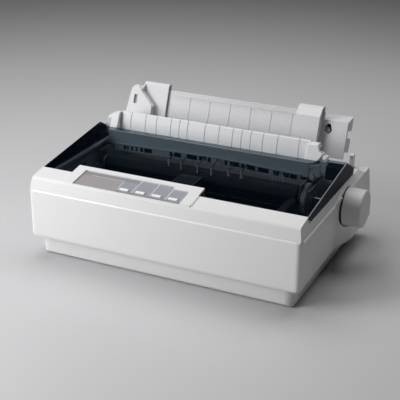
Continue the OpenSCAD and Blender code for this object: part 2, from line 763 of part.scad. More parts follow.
module paper_guide() color("dimgray") {
    r_in = platen_r + 2.6;
    r_out = r_in + 1.5;
    tail = [tractor_y - 21, platen_z + 2.4];
    difference() {
        along_x(left_in, right_in) polygon(concat(
            [tail], arc(platen_y, platen_z, r_in, -26, -150, 20),
            arc(platen_y, platen_z, r_out, -150, -26, 20), [tail - [0, 1.6]]));
        for (i = [0:3])
            block([paper_x - 100 + i * 60, platen_y - pinch_r - 2, platen_z - r_out - 2],
                [paper_x - 80 + i * 60, platen_y + pinch_r + 2, platen_z]);
    }
}

module pinch_rollers() color("darkslategray") {
    rod_x(left_out + 0.2, right_out - 0.2, platen_y, pinch_z, pinch_shaft_r);
    for (i = [0:3])
        rod_x(paper_x - 98 + i * 60, paper_x - 82 + i * 60, platen_y, pinch_z, pinch_r);
}

module platen() color("dimgray") {
    difference() {
        rod_x(paper_x - platen_len / 2, paper_x + platen_len / 2, platen_y, platen_z, platen_r);
        rod_x(left_out, right_out, platen_y, platen_z, platen_shaft_r);
    }
}

module platen_shaft() color("silver") {
    rod_x(left_out - 1, recess_x + knob_len - 4, platen_y, platen_z, platen_shaft_r);
}

module platen_gear() color("ivory") {
    gear_x(gear_x0, gear_x1, platen_y, platen_z, platen_teeth, 0, platen_shaft_r);
}

module platen_knob() color("lightgray") {
    x0 = recess_x + 1;
    difference() {
        translate([x0, platen_y, platen_z]) rotate([0, 90, 0]) rotate_extrude($fn = 96)
            polygon(concat([[0, 0], [knob_r, 0]], arc(knob_r - 2.4, knob_len - 2, 2, 10, 90, 6), [[0,
                knob_len]]));
        rod_x(x0 - 1, recess_x + knob_len - 4, platen_y, platen_z, platen_shaft_r);
    }
}

module idler_gear() color("ivory") {
    gear_x(gear_x0, gear_x1, idler_y, platen_z, idler_teeth, idler_phase, 2.5 + run_gap);
}

module tractor_gear() color("ivory") {
    gear_x(gear_x0, gear_x1, tractor_y, platen_z, tractor_teeth, tractor_phase, journal_r);
}

module tractor_shaft() color("silver") {
    half = square_w / 2;
    along_x(left_in + 0.5, right_in - 0.5) translate([tractor_y, platen_z]) square(square_w, center = true);
    rod_x(left_out - 1, left_in + 1, tractor_y, platen_z, journal_r);
    rod_x(right_in - 1, gear_x1 + 1, tractor_y, platen_z, journal_r);
}

module tractor_rod() color("silver") {
    rod_x(left_out, right_out, rod_y, rod_z, rod_r);
}

module motor_pinion() color("goldenrod") {
    along_x(gear_x0, gear_x1) translate([motor_y, motor_z])
        polygon(gear_outline(pinion_teeth, pinion_phase));
    rod_x(gear_x1 - 1, bracket_x1 + 10, motor_y, motor_z, 2);
}

module feed_motor() color("darkgray") {
    difference() {
        union() {
            rod_x(bracket_x1, bracket_x1 + 22, motor_y, motor_z, motor_r);
            along_x(bracket_x1, bracket_x1 + 1.5)
                translate([motor_y, motor_z]) square([8, 2 * motor_r + 12], center = true);
        }
        rod_x(bracket_x1 - 1, bracket_x1 + 12, motor_y, motor_z, 2 + run_gap);
    }
}

// Roller under the tension unit, with its gear moulded on
module tension_roller() color("whitesmoke") {
    rod_x(paper_x - platen_len / 2 + 6, paper_x + platen_len / 2 - 6, tension_y, tension_z, 5);
    for (i = [0:7])
        rod_x(paper_x - 112 + i * 30, paper_x - 98 + i * 30, tension_y, tension_z, tension_r);
    rod_x(left_out - 0.4, right_out + 9, tension_y, tension_z, 3);
    along_x(gear_x0, gear_x1) translate([tension_y, tension_z])
        polygon(gear_outline(tension_teeth, tension_phase));
}

unit_x0 = left_out - 0.7;
unit_x1 = bracket_x1 - 0.5;
unit_face_y = from_platen(26.5);
unit_top_z = rim_z + 38;
hood_x0 = left_in + 6;
hood_x1 = right_in - 4;

// Outline of the hood's outside, shrunk inwards by t: bowed face, rounded top, falling back
bow_r = 40;
bow_z = unit_top_z - 20.2;
brow_r = 2.6;
function hood_outline(t) = concat([[unit_face_y + t, tension_z + tension_r + 1.6]],
    arc(unit_face_y + bow_r, bow_z, bow_r - t, 180, 152, 6),
    arc(unit_face_y + bow_r - (bow_r - brow_r) * cos(28), bow_z + (bow_r - brow_r) * sin(28),
        brow_r - t, 148, 66, 5),
    [[unit_face_y + 17, unit_top_z - 5.5 - t], [unit_face_y + 25 - t, unit_top_z - 13]]);

// Side outline of the two end blocks
unit_end_side = [[from_platen(18.5), frame_top_z], [from_platen(52.5), frame_top_z],
    [from_platen(52.5), unit_top_z - 14], [from_platen(44.5), unit_top_z - 5],
    [unit_face_y + 4, unit_top_z], [unit_face_y - 2, unit_top_z - 1.5], [unit_face_y - 8, unit_top_z - 14],
    [unit_face_y - 14, unit_top_z - 21], [unit_face_y - 14, frame_top_z + 4]];

// Front outlines of the end blocks, with their catches and finger tabs
left_end_front = [[unit_x0, frame_top_z], [hood_x0 + 1, frame_top_z], [hood_x0 + 1, unit_top_z - 1],
    [hood_x0 - 2.4, unit_top_z - 0.2], [hood_x0 - 3.6, unit_top_z - 1.6], [hood_x0 - 7, unit_top_z - 1.6],
    [hood_x0 - 8.4, unit_top_z - 3.4], [hood_x0 - 12, unit_top_z - 4], [hood_x0 - 13, unit_top_z - 5.6],
    [hood_x0 - 15, unit_top_z - 7.6], [hood_x0 - 16.4, unit_top_z - 11], [hood_x0 - 17.4, unit_top_z - 16],
    [hood_x0 - 17.4, frame_top_z + 12], [unit_x0, frame_top_z + 12]];
right_end_front = [[hood_x1 - 1, frame_top_z], [unit_x1, frame_top_z], [unit_x1, frame_top_z + 18],
    [unit_x1 - 2.4, frame_top_z + 20], [unit_x1 - 3, frame_top_z + 22], [unit_x1 + 0.6, frame_top_z + 25.6],
    [unit_x1 + 0.8, frame_top_z + 27.8], [unit_x1 - 5, frame_top_z + 29.6], [unit_x1 - 6, unit_top_z - 7],
    [unit_x1 - 3.6, unit_top_z - 5.4], [unit_x1 - 4.2, unit_top_z - 3.4], [unit_x1 - 7.4, unit_top_z - 3],
    [unit_x1 - 5, unit_top_z - 1], [unit_x1 - 9, unit_top_z], [hood_x1 + 3, unit_top_z],
    [hood_x1 + 2, unit_top_z - 1.4], [hood_x1 - 1, unit_top_z - 1.4]];

// Detachable paper tension unit: a ribbed hood behind the roller on two end blocks
module tension_unit() color("white") {
    difference() {
        along_x(hood_x0, hood_x1) difference() {
            polygon(hood_outline(0));
            polygon(concat([[unit_face_y + unit_t, tension_z - 5]], hood_outline(unit_t),
                [[unit_face_y + 30, unit_top_z - 20], [unit_face_y + 30, tension_z - 5]]));
        }
        // Grooves between the panels of the hood
        for (x = [-126.5, -112, -91, -75.5, -55, -43, -31.5, -7.5, 11.5, 30, 42, 54, 70, 89, 116.5])
            along_x(paper_x + x - 0.5, paper_x + x + 0.5) difference() {
                translate([0, 1]) polygon(hood_outline(-0.8));
                polygon(hood_outline(0.7));
            }
    }
    // Guard plate in front of the roller
    block([left_in - 1, unit_face_y - 14.6, frame_top_z + 1.5],
        [right_in + 1, unit_face_y - 13, frame_top_z + 20]);
    // Stiffening ribs inside the hood
    for (x = concat(hood_x0, [for (i = [-85, -45, 0, 45, 85]) paper_x + i], hood_x1 - 1.6))
        along_x(x, x + 1.6) polygon(concat(hood_outline(unit_t / 2), [[unit_face_y + 22,
            unit_top_z - 17]]));
    // Left end block
    difference() {
        union() {
            intersection() {
                along_x(unit_x0, hood_x0 + 1) polygon(unit_end_side);
                along_y(front_y, rear_y) polygon(left_end_front);
            }
            // Catch beyond the frame
            intersection() {
                along_x(hood_x0 - 18, unit_x0 + 1) polygon(unit_end_side);
                along_y(unit_face_y - 5, unit_face_y + 8) polygon(left_end_front);
            }
        }
        rod_x(hood_x0 - 20, hood_x0 + 2, tension_y, tension_z, 3 + run_gap);
        block([left_in, from_platen(4.5), frame_top_z - 1], [hood_x0 + 0.1, unit_face_y - 1, unit_z + 4]);
    }
    // Right end block: an inner plate on the frame, a bridge, and an outer plate past the gear
    difference() {
        intersection() {
            along_x(hood_x1 - 1, unit_x1 + 2) polygon(unit_end_side);
            along_y(front_y, rear_y) polygon(right_end_front);
        }
        // The catch itself is only as deep as the hood's brow
        for (y = [[unit_face_y - 20, unit_face_y - 5], [unit_face_y + 7, unit_face_y + 40]])
            block([hood_x1 + 3, y[0], frame_top_z + 18], [unit_x1 + 3, y[1], unit_top_z + 1]);
        rod_x(hood_x1 - 2, unit_x1 + 3, tension_y, tension_z, 3 + run_gap);
        rod_x(gear_x0 - 0.5, gear_x1 + 0.5, tension_y, tension_z, pitch_r(tension_teeth) + 2);
        block([right_out, from_platen(4.5), frame_top_z - 1], [unit_x1 + 3, from_platen(54.5),
            frame_top_z + 1.2]);
        block([hood_x1 - 1.1, from_platen(4.5), frame_top_z - 1], [right_in - 0.2, unit_face_y - 1,
            unit_z + 4]);
    }
}

// ---- carriage ----

module carriage_motor() color("darkgray") {
    difference() {
        union() {
            rod_z(left_pulley_x, belt_y, chassis_z, belt_z - 10, motor_r);
            rod_z(left_pulley_x, belt_y, belt_z - 11, belt_z - 8, 6);
        }
        rod_z(left_pulley_x, belt_y, belt_z - 24, belt_z, 2 + run_gap);
    }
}

module pulley_wheel(x) {
    rod_z(x, belt_y, belt_z - side_gap, belt_z + belt_w + side_gap, pulley_r);
    rod_z(x, belt_y, belt_z - side_gap - 1.2, belt_z - side_gap, flange_r);
    rod_z(x, belt_y, belt_z + belt_w + side_gap, belt_z + belt_w + side_gap + 1.2, flange_r);
}

module drive_pulley() color("silver") {
    pulley_wheel(left_pulley_x);
    rod_z(left_pulley_x, belt_y, belt_z - 22, belt_z + belt_w + 3, 2);
}

module idler_pulley() color("ivory") {
    difference() {
        pulley_wheel(right_pulley_x);
        rod_z(right_pulley_x, belt_y, belt_z - 3, belt_z + belt_w + 4, 2 + run_gap);
    }
}

module timing_belt() color("black") {
    difference() {
        along_z(belt_z, belt_z + belt_w)
            polygon(stadium(left_pulley_x, right_pulley_x, belt_y, pulley_r + 0.06 + belt_t));
        along_z(belt_z - 1, belt_z + belt_w + 1)
            polygon(stadium(left_pulley_x, right_pulley_x, belt_y, pulley_r + 0.06));
    }
}

module carriage() color("dimgray") {
    half = carriage_w / 2;
    run_y = belt_y + pulley_r + 0.06;
    difference() {
        union() {
            block([paper_x - half, carriage_y - 15.5, carriage_z - 6],
                [paper_x + half, carriage_y + 16, carriage_z + 9]);
            // Front foot that rides on the guide rail
            block([paper_x - 6, rail_y - 2.5, rail_top + side_gap],
                [paper_x + 6, carriage_y - 15, rail_top + 4]);
            // Clamp that grips the rear run of the belt
            block([paper_x - 5, run_y - 2, belt_z - 2], [paper_x + 5, carriage_y - 15, rail_top + 1]);
        }
        rod_x(paper_x - half - 1, paper_x + half + 1, carriage_y, carriage_z, carriage_shaft_r + run_gap);
        block([paper_x - 6, run_y - side_gap, belt_z - side_gap],
            [paper_x + 6, run_y + belt_t + side_gap, belt_z + belt_w + side_gap]);
    }
}

module print_head() color("darkslategray") {
    x = paper_x;
    y0 = carriage_y - 9;
    z0 = carriage_z + 9;
    difference() {
        block([x - 14, y0, z0], [x + 14, y0 + 27, z0 + 24]);
        // Cooling fins
        for (i = [0:5])
            block([x - 12.2 + i * 4.2, y0 - 1, z0 + 6], [x - 10 + i * 4.2, y0 + 22, z0 + 25]);
    }
    // Nose that holds the nine wires
    along_z(z0 + 4, z0 + 16) polygon([[x - 9, y0 + 26], [x + 9, y0 + 26], [x + 4, nose_y], [x - 4,
        nose_y]]);
}

// ---- ribbon ----

cart_z1 = cart_z0 + 15;
cart_d1 = platen_depth - 66.5;
cart_d0 = cart_d1 - 37;
ribbon_t = 0.25;
ribbon_y = nose_y + side_gap + ribbon_t;
arm_w = 9;
ribbon_knob_x = paper_x + 70;
ribbon_knob_y = from_platen(-87.5);

module ribbon_cartridge() color("black") {
    x0 = left_in + 1;
    x1 = right_in - 1;
    difference() {
        union() {
            along_z(cart_z0, cart_z1) polygon(round_box(x0, behind(cart_d0), x1, behind(cart_d1), 6, 3));
            for (x = [x0, x1 - arm_w])
                along_z(cart_z0, cart_z1) polygon([[x, behind(cart_d1 - 5)], [x + arm_w,
                    behind(cart_d1 - 5)],
                    [x + arm_w, ribbon_y - 4], [x + arm_w / 2, ribbon_y - 0.6], [x, ribbon_y - 4]]);
            // Tabs that rest on the side frames
            block([left_out - 1, from_platen(-95.5), frame_front_z], [x0 + 1, from_platen(-75.5),
                frame_front_z + 6]);
            block([x1 - 1, from_platen(-95.5), frame_front_z], [right_out + 1, from_platen(-75.5),
                frame_front_z + 6]);
        }
        // Shallow panels in the lid and the bore of the ribbon knob
        block([x0 + 12, behind(cart_d0 + 6), cart_z1 - 0.8], [ribbon_knob_x - 16, behind(cart_d1 - 6),
            cart_z1 + 1]);
        rod_z(ribbon_knob_x, ribbon_knob_y, cart_z0 + 3, cart_z1 + 1, 3 + run_gap);
    }
}

module ribbon() color("black") {
    block([left_in + 1 + arm_w / 2, ribbon_y - ribbon_t, cart_z0 + 3],
        [right_in - 1 - arm_w / 2, ribbon_y, cart_z1 - 1]);
    for (x = [left_in + 1 + arm_w / 2, right_in - 1 - arm_w / 2])
        block([x - 1.5, ribbon_y - 0.6, cart_z0 + 3], [x + 1.5, ribbon_y, cart_z1 - 1]);
}

module ribbon_knob() color("dimgray") {
    rod_z(ribbon_knob_x, ribbon_knob_y, cart_z0 + 3.3, cart_z1 + 1, 3);
    rod_z(ribbon_knob_x, ribbon_knob_y, cart_z1 + side_gap, cart_z1 + 1.6, 9);
    for (i = [0:17])
        translate([ribbon_knob_x + 8 * cos(i * 20), ribbon_knob_y + 8 * sin(i * 20), cart_z1 + 1.4])
            cylinder(r = 1.2, h = 5, $fn = 16);
    rod_z(ribbon_knob_x, ribbon_knob_y, cart_z1 + 1.4, cart_z1 + 6.4, 7.6);
}

// ---- electrics ----

module main_board() color("seagreen") {
    block([paper_x - 30, from_platen(-23.5), board_z], [right_in - 4, rear_y - 5, board_z + 1.6]);
    // Chips and capacitors
    block([paper_x - 15, from_platen(-10.5), board_z + 1.4], [paper_x + 25, from_platen(3.5), board_z + 5]);
    block([paper_x + 45, from_platen(-5.5), board_z + 1.4], [paper_x + 71, from_platen(20.5),
        board_z + 4.6]);
    for (i = [0:2]) rod_z(paper_x + 93 + i * 12, from_platen(-10.5), board_z + 1.4, board_z + 13, 4.5);
    // Spacers down to the chassis
    for (x = [paper_x - 23, right_in - 12], y = [-15.5, 59.5]) rod_z(x, from_platen(y), chassis_z,
        board_z, 3);
}

module power_supply() color("khaki") {
    block([left_in + 6, from_platen(-20.5), chassis_z + 6], [paper_x - 40, from_platen(66.5),
        chassis_z + 7.6]);
    block([left_in + 12, from_platen(-5.5), chassis_z + 7.4], [left_in + 44, from_platen(26.5),
        chassis_z + 34]);
    rod_z(paper_x - 63, from_platen(4.5), chassis_z + 7.4, chassis_z + 36, 9);
    block([paper_x - 80, from_platen(30.5), chassis_z + 7.4], [paper_x - 47, from_platen(34.5),
        chassis_z + 32]);
    for (x = [left_in + 12, paper_x - 47], y = [-14.5, 60.5]) rod_z(x, from_platen(y), chassis_z,
        chassis_z + 6.2, 3);
}

module parallel_connector() color("silver") {
    block([parallel_x - 30, rear_y - 18, board_z + 1.6], [parallel_x + 30, rear_y - 2, board_z + 14]);
    difference() {
        block([parallel_x - 24, rear_y - 3, board_z + 3], [parallel_x + 24, rear_y + 3, board_z + 13]);
        block([parallel_x - 22, rear_y - 1, board_z + 4.6], [parallel_x + 22, rear_y + 4, board_z + 11.4]);
    }
    block([parallel_x - 20, rear_y - 2, board_z + 7], [parallel_x + 20, rear_y + 2.4, board_z + 9]);
}

module serial_connector() color("dimgray") {
    block([serial_x - 16, rear_y - 16, board_z + 1.6], [serial_x + 16, rear_y - 2, board_z + 13]);
    difference() {
        along_y(rear_y - 3, rear_y + 3) polygon([[serial_x - 9, board_z + 3], [serial_x + 9, board_z + 3],
            [serial_x + 10.5, board_z + 12], [serial_x - 10.5, board_z + 12]]);
        along_y(rear_y - 1, rear_y + 4) polygon([[serial_x - 7.5, board_z + 4.2], [serial_x + 7.5,
            board_z + 4.2],
            [serial_x + 8.8, board_z + 10.8], [serial_x - 8.8, board_z + 10.8]]);
    }
}

module ac_inlet() color("black") {
    difference() {
        union() {
            block([inlet_x - inlet_w / 2, rear_y - 22, inlet_z - inlet_h / 2],
                [inlet_x + inlet_w / 2, rear_y, inlet_z + inlet_h / 2]);
            block([inlet_x - inlet_w / 2 - 2.4, rear_y, inlet_z - inlet_h / 2 - 2.4],
                [inlet_x + inlet_w / 2 + 2.4, rear_y + 2, inlet_z + inlet_h / 2 + 2.4]);
        }
        block([inlet_x - 11.6, rear_y - 15, inlet_z - 7.6], [inlet_x + 11.6, rear_y + 3, inlet_z + 7.6]);
    }
    // Three contact blades in the socket
    for (p = [[-6.5, -2], [0, 2], [6.5, -2]])
        block([inlet_x + p[0] - 1, rear_y - 16, inlet_z + p[1] - 2],
            [inlet_x + p[0] + 1, rear_y - 5, inlet_z + p[1] + 2]);
}

// Rocker of the power switch, resting on its ON side
module power_switch() color("black") {
    x = -case_x + 8;
    translate([x, switch_y, 0]) rotate([0, 0, 8]) difference() {
        intersection() {
            rod_z(0, 0, switch_z - 6, switch_z + 6, rocker_r);
            along_z(switch_z - 6, switch_z + 6) polygon([[5, -9.2], [-6.5, -9.2], [-8, 0],
                [-6.5, 9.2], [5, 9.2], [4, 0]]);
        }
        rod_z(0, 0, switch_z - 8, switch_z + 8, 1.5 + run_gap);
    }
}

// ---- tractors ----

// One tractor body about its own centre line; side is +1 with its lock on the right
module tractor_body(x, side) {
    half = tractor_w / 2;
    hinge_x = x + side * (half - 2.7);
    difference() {
        along_x(x - half, x + half) polygon([
            [tractor_y - 15.5, tractor_low], [tractor_y + 12.5, tractor_low],
            [tractor_y + 12.5, tractor_top - 5],
            [tractor_y + 9, tractor_top], [tractor_y - 9, tractor_top], [tractor_y - 15.5,
                tractor_top - 7]]);
        rod_x(x - 4.3, x + 4.3, tractor_y, platen_z, wheel_r + pin_len + 0.5);
        rod_x(x - half - 1, x + half + 1, tractor_y, platen_z, square_w * sqrt(2) / 2 + 0.4);
        rod_x(x - half - 1, x + half + 1, rod_y, rod_z, rod_r + run_gap);
    }
    // Hinge pin of the flap between two ears
    rod_y(hinge_x, tractor_y - 13, tractor_y + 11, tractor_hinge_z, 1.5);
    for (y = [tractor_y - 13, tractor_y + 9.2]) {
        rod_y(hinge_x, y, y + 1.8, tractor_hinge_z, 2.6);
        block([hinge_x - 2.6, y, tractor_top - 7.5], [hinge_x + 2.6, y + 1.8, tractor_hinge_z]);
    }
}

module left_tractor() color("dimgray") tractor_body(left_tractor_x, -1);
module right_tractor() color("dimgray") tractor_body(right_tractor_x, 1);

module pin_wheel(x) {
    phase = tractor_phase;
    difference() {
        union() {
            rod_x(x - 4, x + 4, tractor_y, platen_z, wheel_r);
            for (i = [0:tractor_pins - 1])
                translate([x, tractor_y, platen_z]) rotate([90 + i * 360 / tractor_pins, 0, 0])
                    rotate([-90, 0, 0]) translate([0, 0, wheel_r - 1])
                        cylinder(r1 = 1.8, r2 = 0.9, h = pin_len + 1, $fn = 24);
        }
        along_x(x - 5, x + 5) translate([tractor_y, platen_z])
            square(square_w + 2 * side_gap, center = true);
    }
}

module left_pin_wheel() color("gray") pin_wheel(left_tractor_x);
module right_pin_wheel() color("gray") pin_wheel(right_tractor_x);

module tractor_flap(x, side) {
    half = tractor_w / 2;
    hinge_x = x + side * (half - 2.7);
    y0 = tractor_y - 10.6;
    y1 = tractor_y + 8.6;
    low = tractor_top + 0.9;
    difference() {
        union() {
            rod_y(hinge_x, y0, y1, tractor_hinge_z, 2.7);
            block([side > 0 ? x - half + 1 : hinge_x, y0, low], [side > 0 ? hinge_x : x + half - 1, y1,
                low + 2.5]);
            // Finger lip on the free edge
            block([side > 0 ? x - half + 1 : x + half - 2.5, y0 + 6, low + 1],
                [side > 0 ? x - half + 2.5 : x + half - 1, y1 - 4, low + 4.5]);
        }
        rod_y(hinge_x, y0 - 1, y1 + 1, tractor_hinge_z, 1.5 + run_gap);
        block([x - 2.4, tractor_y - 7.4, low - 1], [x + 2.4, tractor_y + 7.4, low + 4]);
    }
}

module left_tractor_cover() color("gray") tractor_flap(left_tractor_x, -1);
module right_tractor_cover() color("gray") tractor_flap(right_tractor_x, 1);

// Lever that clamps a tractor to its rod, on the outboard side of the body
module tractor_lock(x, side) {
    half = tractor_w / 2;
    x0 = x + side * (half + side_gap) - (side > 0 ? 0 : 2.8);
    difference() {
        union() {
            rod_x(x0, x0 + 2.8, tractor_y, platen_z, 7.6);
            along_x(x0, x0 + 2.8) translate([tractor_y, platen_z]) rotate(150)
                polygon([[0, -2.5], [14, -2.5], [15.5, 0], [14, 2.5], [0, 2.5]]);
        }
        rod_x(x0 - 1, x0 + 4, tractor_y, platen_z, square_w * sqrt(2) / 2 + 0.6);
    }
}

module left_tractor_lock() color("tomato") tractor_lock(left_tractor_x, -1);
module right_tractor_lock() color("tomato") tractor_lock(right_tractor_x, 1);

// ---- sheet guide ----

// Places a shape drawn in (X, up the plate, behind the plate) on the leaned guide
module on_guide() {
    translate([0, guide_y, guide_z]) rotate([-guide_lean, 0, 0]) children();
}

// Extrudes an outline given as (X, height up the plate) between two offsets behind the plate's middle
module guide_sheet(n0, n1) {
    along_y(n0, n1) children();
}

rail_x0 = left_in + 45;
rail_x1 = right_in - 47;
wing_left = case_x - 2;
wing_right = case_x - 30;
wing_top = guide_len - 8;
wing_x0 = right_in - 10.5;

module sheet_guide() color("gainsboro") {
    half = guide_t / 2;
    on_guide() {
        difference() {
            union() {
                guide_sheet(-half, half) polygon(concat([[guide_x0 + 4, edge_lift], [guide_x1, edge_lift],
                    [guide_x1, 15], [wing_right, 15], [wing_right, wing_top], [wing_x0, wing_top],
                    [wing_x0, guide_len + 1], [rail_x1 + 6, guide_len + 1]],
                    [[rail_x1 + 6, guide_len], [rail_x0 - 4, guide_len], [rail_x0 - 4, guide_len + 1]],
                    arc(-wing_left + 19, guide_len - 8, 9, 90, 165, 6),
                    [[-wing_left, 30], [-wing_left, 15], [guide_x0 + 4, 15]]));
                // Rail along the top, hollow towards the front
                for (low = [guide_len - 1.5, guide_len - 6])
                    guide_sheet(-half - 1.6, half) polygon([[rail_x0, low], [rail_x1, low],
                        [rail_x1, low + 1.3], [rail_x0, low + 1.3]]);
                // Sloping top and notched side of the right wing
                along_x(wing_x0, wing_right) polygon([[-half, wing_top - 2], [-half, wing_top],
                    [wing_depth, wing_top + 8.5], [wing_depth, wing_top + 6.5]]);
                along_x(wing_right - 2.4, wing_right) polygon([[half - 0.1, 24], [wing_depth - 2, 24],
                    [wing_depth, 28], [wing_depth, 39], [wing_depth - 2, 42], [half + 2, 42], [half + 2,
                        51],
                    [wing_depth - 3, 51], [wing_depth, 54], [wing_depth, wing_top + 7],
                    [half - 0.1, wing_top - 1]]);
                // Pocket behind the keyhole
                block([wing_x0 + 1, half - 0.1, guide_len - 28], [wing_right - 16, half + 10,
                    guide_len - 10]);
                // Pivot arms
                for (x = [guide_x0, guide_x1 - 3]) {
                    rod_x(x, x + 3, 0, 0, 5.5);
                    block([x, -3, 0], [x + 3, 3, edge_lift + 8]);
                }
                block([guide_x0, -half, edge_lift], [guide_x0 + 6, half, edge_lift + 8]);
                block([guide_x1 - 4, -half, edge_lift], [guide_x1, half, edge_lift + 8]);
            }
            for (x = [guide_x0, guide_x1 - 3]) rod_x(x - 1, x + 4, 0, 0, guide_pin_r + run_gap);
            // Lines between the panels of the plate
            for (i = [-61, -32.5, -3.5, 25.5, 54, 82])
                block([paper_x + i - 0.35, -half - 1, edge_lift - 1],
                    [paper_x + i + 0.35, -half + 0.6, guide_len - 7]);
            // Keyhole in the right wing, with a hook left standing in its lower corner
            difference() {
                along_y(-5, half + 8) polygon(concat([[wing_x0 + 3.2, guide_len - 12.5],
                    [wing_x0 + 9.5, guide_len - 12.5]], arc(wing_x0 + 7, guide_len - 20, 5, 30, -150, 10)));
                block([wing_x0 + 1, -3, guide_len - 26], [wing_x0 + 5, half + 2, guide_len - 23]);
            }
        }
    }
}

module edge_guide(x0, x1) {
    half = guide_t / 2;
    front = -half - edge_stand;
    skin = 2.2;
    top = guide_len + 7.6;
    on_guide() {
        along_x(x0, x1) polygon([
            [front, 24], [front, top - 14], [front + 6, top - 3], [-half - 1, top],
            [half + 3.4, top], [half + 3.4, guide_len - 3], [half + 1.2, guide_len - 3], [half + 1.2,
                top - skin],
            [-half - 1, top - skin], [front + 6 + skin, top - 5], [front + skin, top - 15], [front + skin,
                24]]);
        // Side wall facing outwards, stepped over the rail
        along_x(x1 - 2, x1) polygon([[front, 24], [front, top - 14], [front + 6, top - 3], [-half - 4,
            top - 1],
            [-half - 4, guide_len - 8], [-half - side_gap, guide_len - 8], [-half - side_gap, 24]]);
        // Webs that slide along the rail under the hood
        for (x = [x0 + 8, x1 - 12])
            block([x, -half - 3.4, guide_len + 1.4], [x + 4, half + 1.3, top - 1]);
    }
}

// The right guide is a hood that hangs over the rail and stands off the plate
module right_edge_guide() color("gainsboro") {
    edge_guide(right_in - 44, right_in - 44 + edge_guide_w);
}

// The left guide is a stepped plate: a forward wing with a slot, and a face close to the plate
module left_edge_guide() color("gainsboro") {
    half = guide_t / 2;
    face = -half - 3.9;
    front = face - 10.6;
    skin = 2;
    x1 = left_in + 40.4;
    x0 = x1 - edge_guide_w - 22.9;
    top = guide_len + 7.6;
    wing_z = guide_len + 1.5;
    step_in = [[x1 - 18.5, 24], [x1 - 18.5, 44], [x1 - 36.6, guide_len - 7], [x1 - 36.1, top - 4]];
    step_out = [[x1 - 36.1 + skin, top - 4], [x1 - 36.6 + skin, guide_len - 6.2],
        [x1 - 18.5 + skin, 44.8], [x1 - 18.5 + skin, 24]];
    on_guide() {
        difference() {
            guide_sheet(front, front + skin) polygon(concat([[x0, 24]],
                [for (i = [3:-1:1]) step_out[i]], arc(x0 + 15, wing_z - 10, 10, 90, 172, 5)));
            block([x0 + 10.6, front - 1, 45], [x0 + 15.4, front + skin + 1, 57]);
        }
        // Wall from the wing back and up to the face, and the face itself
        intersection() {
            guide_sheet(front, face + skin) polygon(concat(step_in, step_out));
            along_x(x0, x1) polygon([[front, 24], [front, guide_len - 6.6], [face, top - 4],
                [face + skin, top - 4], [face + skin, 24]]);
        }
        guide_sheet(face, face + skin)
            polygon(concat([[x1, 24], [x1, top - 4]], [for (i = [3:-1:0]) step_in[i]]));
        // Fold over the rail, down to a lip behind the plate
        along_x(x1 - 36.1, x1) polygon([[face, top - 4.2], [face + 1.4, top - 0.8], [face + 3, top],
            [half + 2.4, top], [half + 2.4, guide_len - 3], [half + 0.6, guide_len - 3],
            [half + 0.6, top - skin], [face + 3, top - skin], [face + skin, top - 4.2]]);
        for (x = [x1 - 30, x1 - 7])
            block([x, -half - 1.9, guide_len + 1.4], [x + 4, half + 0.7, top - 1]);
    }
}

// ---- cover ----

module cover_side(x0, x1) {
    difference() {
        union() {
            along_x(x0, x1) polygon([[behind(cover_front_d + 1), lip_z - 4.5],
                [behind(cover_front_d), cover_top(cover_front_d)], [behind(cover_rear_d), cover_rear_z],
                [cover_hinge_y + cover_hinge_r * cos(50), cover_hinge_z + cover_hinge_r * sin(50)],
                [cover_hinge_y, cover_hinge_z - cover_hinge_r + 0.2],
                [behind(lip_d + 11), rim_z + cover_gap]]);
            rod_x(x0, x1, cover_hinge_y, cover_hinge_z, cover_hinge_r);
        }
        rod_x(x0 - 1, x1 + 1, cover_hinge_y, cover_hinge_z, cover_pin_r + run_gap);
    }
}

module printer_cover() color([0.2, 0.25, 0.33, 0.5]) {
    notch_x0 = -cover_in;
    notch_x1 = case_x - 26;
    difference() {
        union() {
            along_x(-cover_x, cover_x) polygon([
                [behind(cover_front_d), cover_top(cover_front_d) - cover_t],
                [behind(cover_front_d), cover_top(cover_front_d)],
                [behind(cover_rear_d), cover_rear_z], [behind(cover_rear_d), cover_rear_z - cover_t]]);
            cover_side(-cover_x, -cover_in);
            cover_side(cover_in, cover_x);
        }
        // Chamfers along the top edges of the two sides
        for (s = [-1, 1])
            translate([s * cover_x, behind(lip_d), lip_z]) rotate([atan(cover_slope), 0, 0])
                along_y(-20, cover_rear_d)
                    polygon([[s, 1], [-s * (cover_chamfer + 1), 1], [s, -cover_chamfer - 1]]);
        // Notch round the control panel
        block([panel_x0 - 1.4, front_y, 60], [panel_x1 + 1.4, behind(panel_d) + cover_gap + 0.2, 140]);
        // Notch in front of the tension unit
        block([notch_x0, behind(cover_rear_d - notch_d), 60], [notch_x1, rear_y, 140]);
    }
}

// ---- levers ----

module release_lever() color("lightgray") {
    top = pillar_z + 17.9;
    lean = atan(3.8 / (top - lever_z));
    len = (top - lever_z) / cos(lean);
    difference() {
        translate([0, lever_y, lever_z]) rotate([-lean, 0, 0]) union() {
            rod_x(lever_x - 2.3, lever_x + 2.3, 0, 0, 5.5);
            block([lever_x - 2.3, -3.5, 0], [lever_x + 2.3, 3.5, len - 3.5]);
            rod_x(lever_x - 2.3, lever_x + 2.3, 0, len - 3.5, 3.5);
        }
        rod_x(lever_x - 4, lever_x + 4, lever_y, lever_z, 2.5 + run_gap);
        // Round mark pressed into the tip
        translate([0, lever_y, lever_z]) rotate([-lean, 0, 0]) difference() {
            rod_x(lever_x + 1.9, lever_x + 3, 0, len - 4, 1.9);
            rod_x(lever_x + 1, lever_x + 4, 0, len - 4, 1.2);
        }
    }
}

module thickness_lever() color("mediumseagreen") {
    x1 = left_out - 1.6;
    x0 = x1 - 3;
    difference() {
        union() {
            rod_x(x0, x1, carriage_y, carriage_z, 7);
            along_x(x0, x1) translate([carriage_y, carriage_z]) rotate(100)
                polygon([[0, -4], [34, -3], [36, -1.5], [36, 1.5], [34, 3], [0, 4]]);
        }
        rod_x(x0 - 1, x1 + 1, carriage_y, carriage_z, 2.5 + run_gap);
    }
}

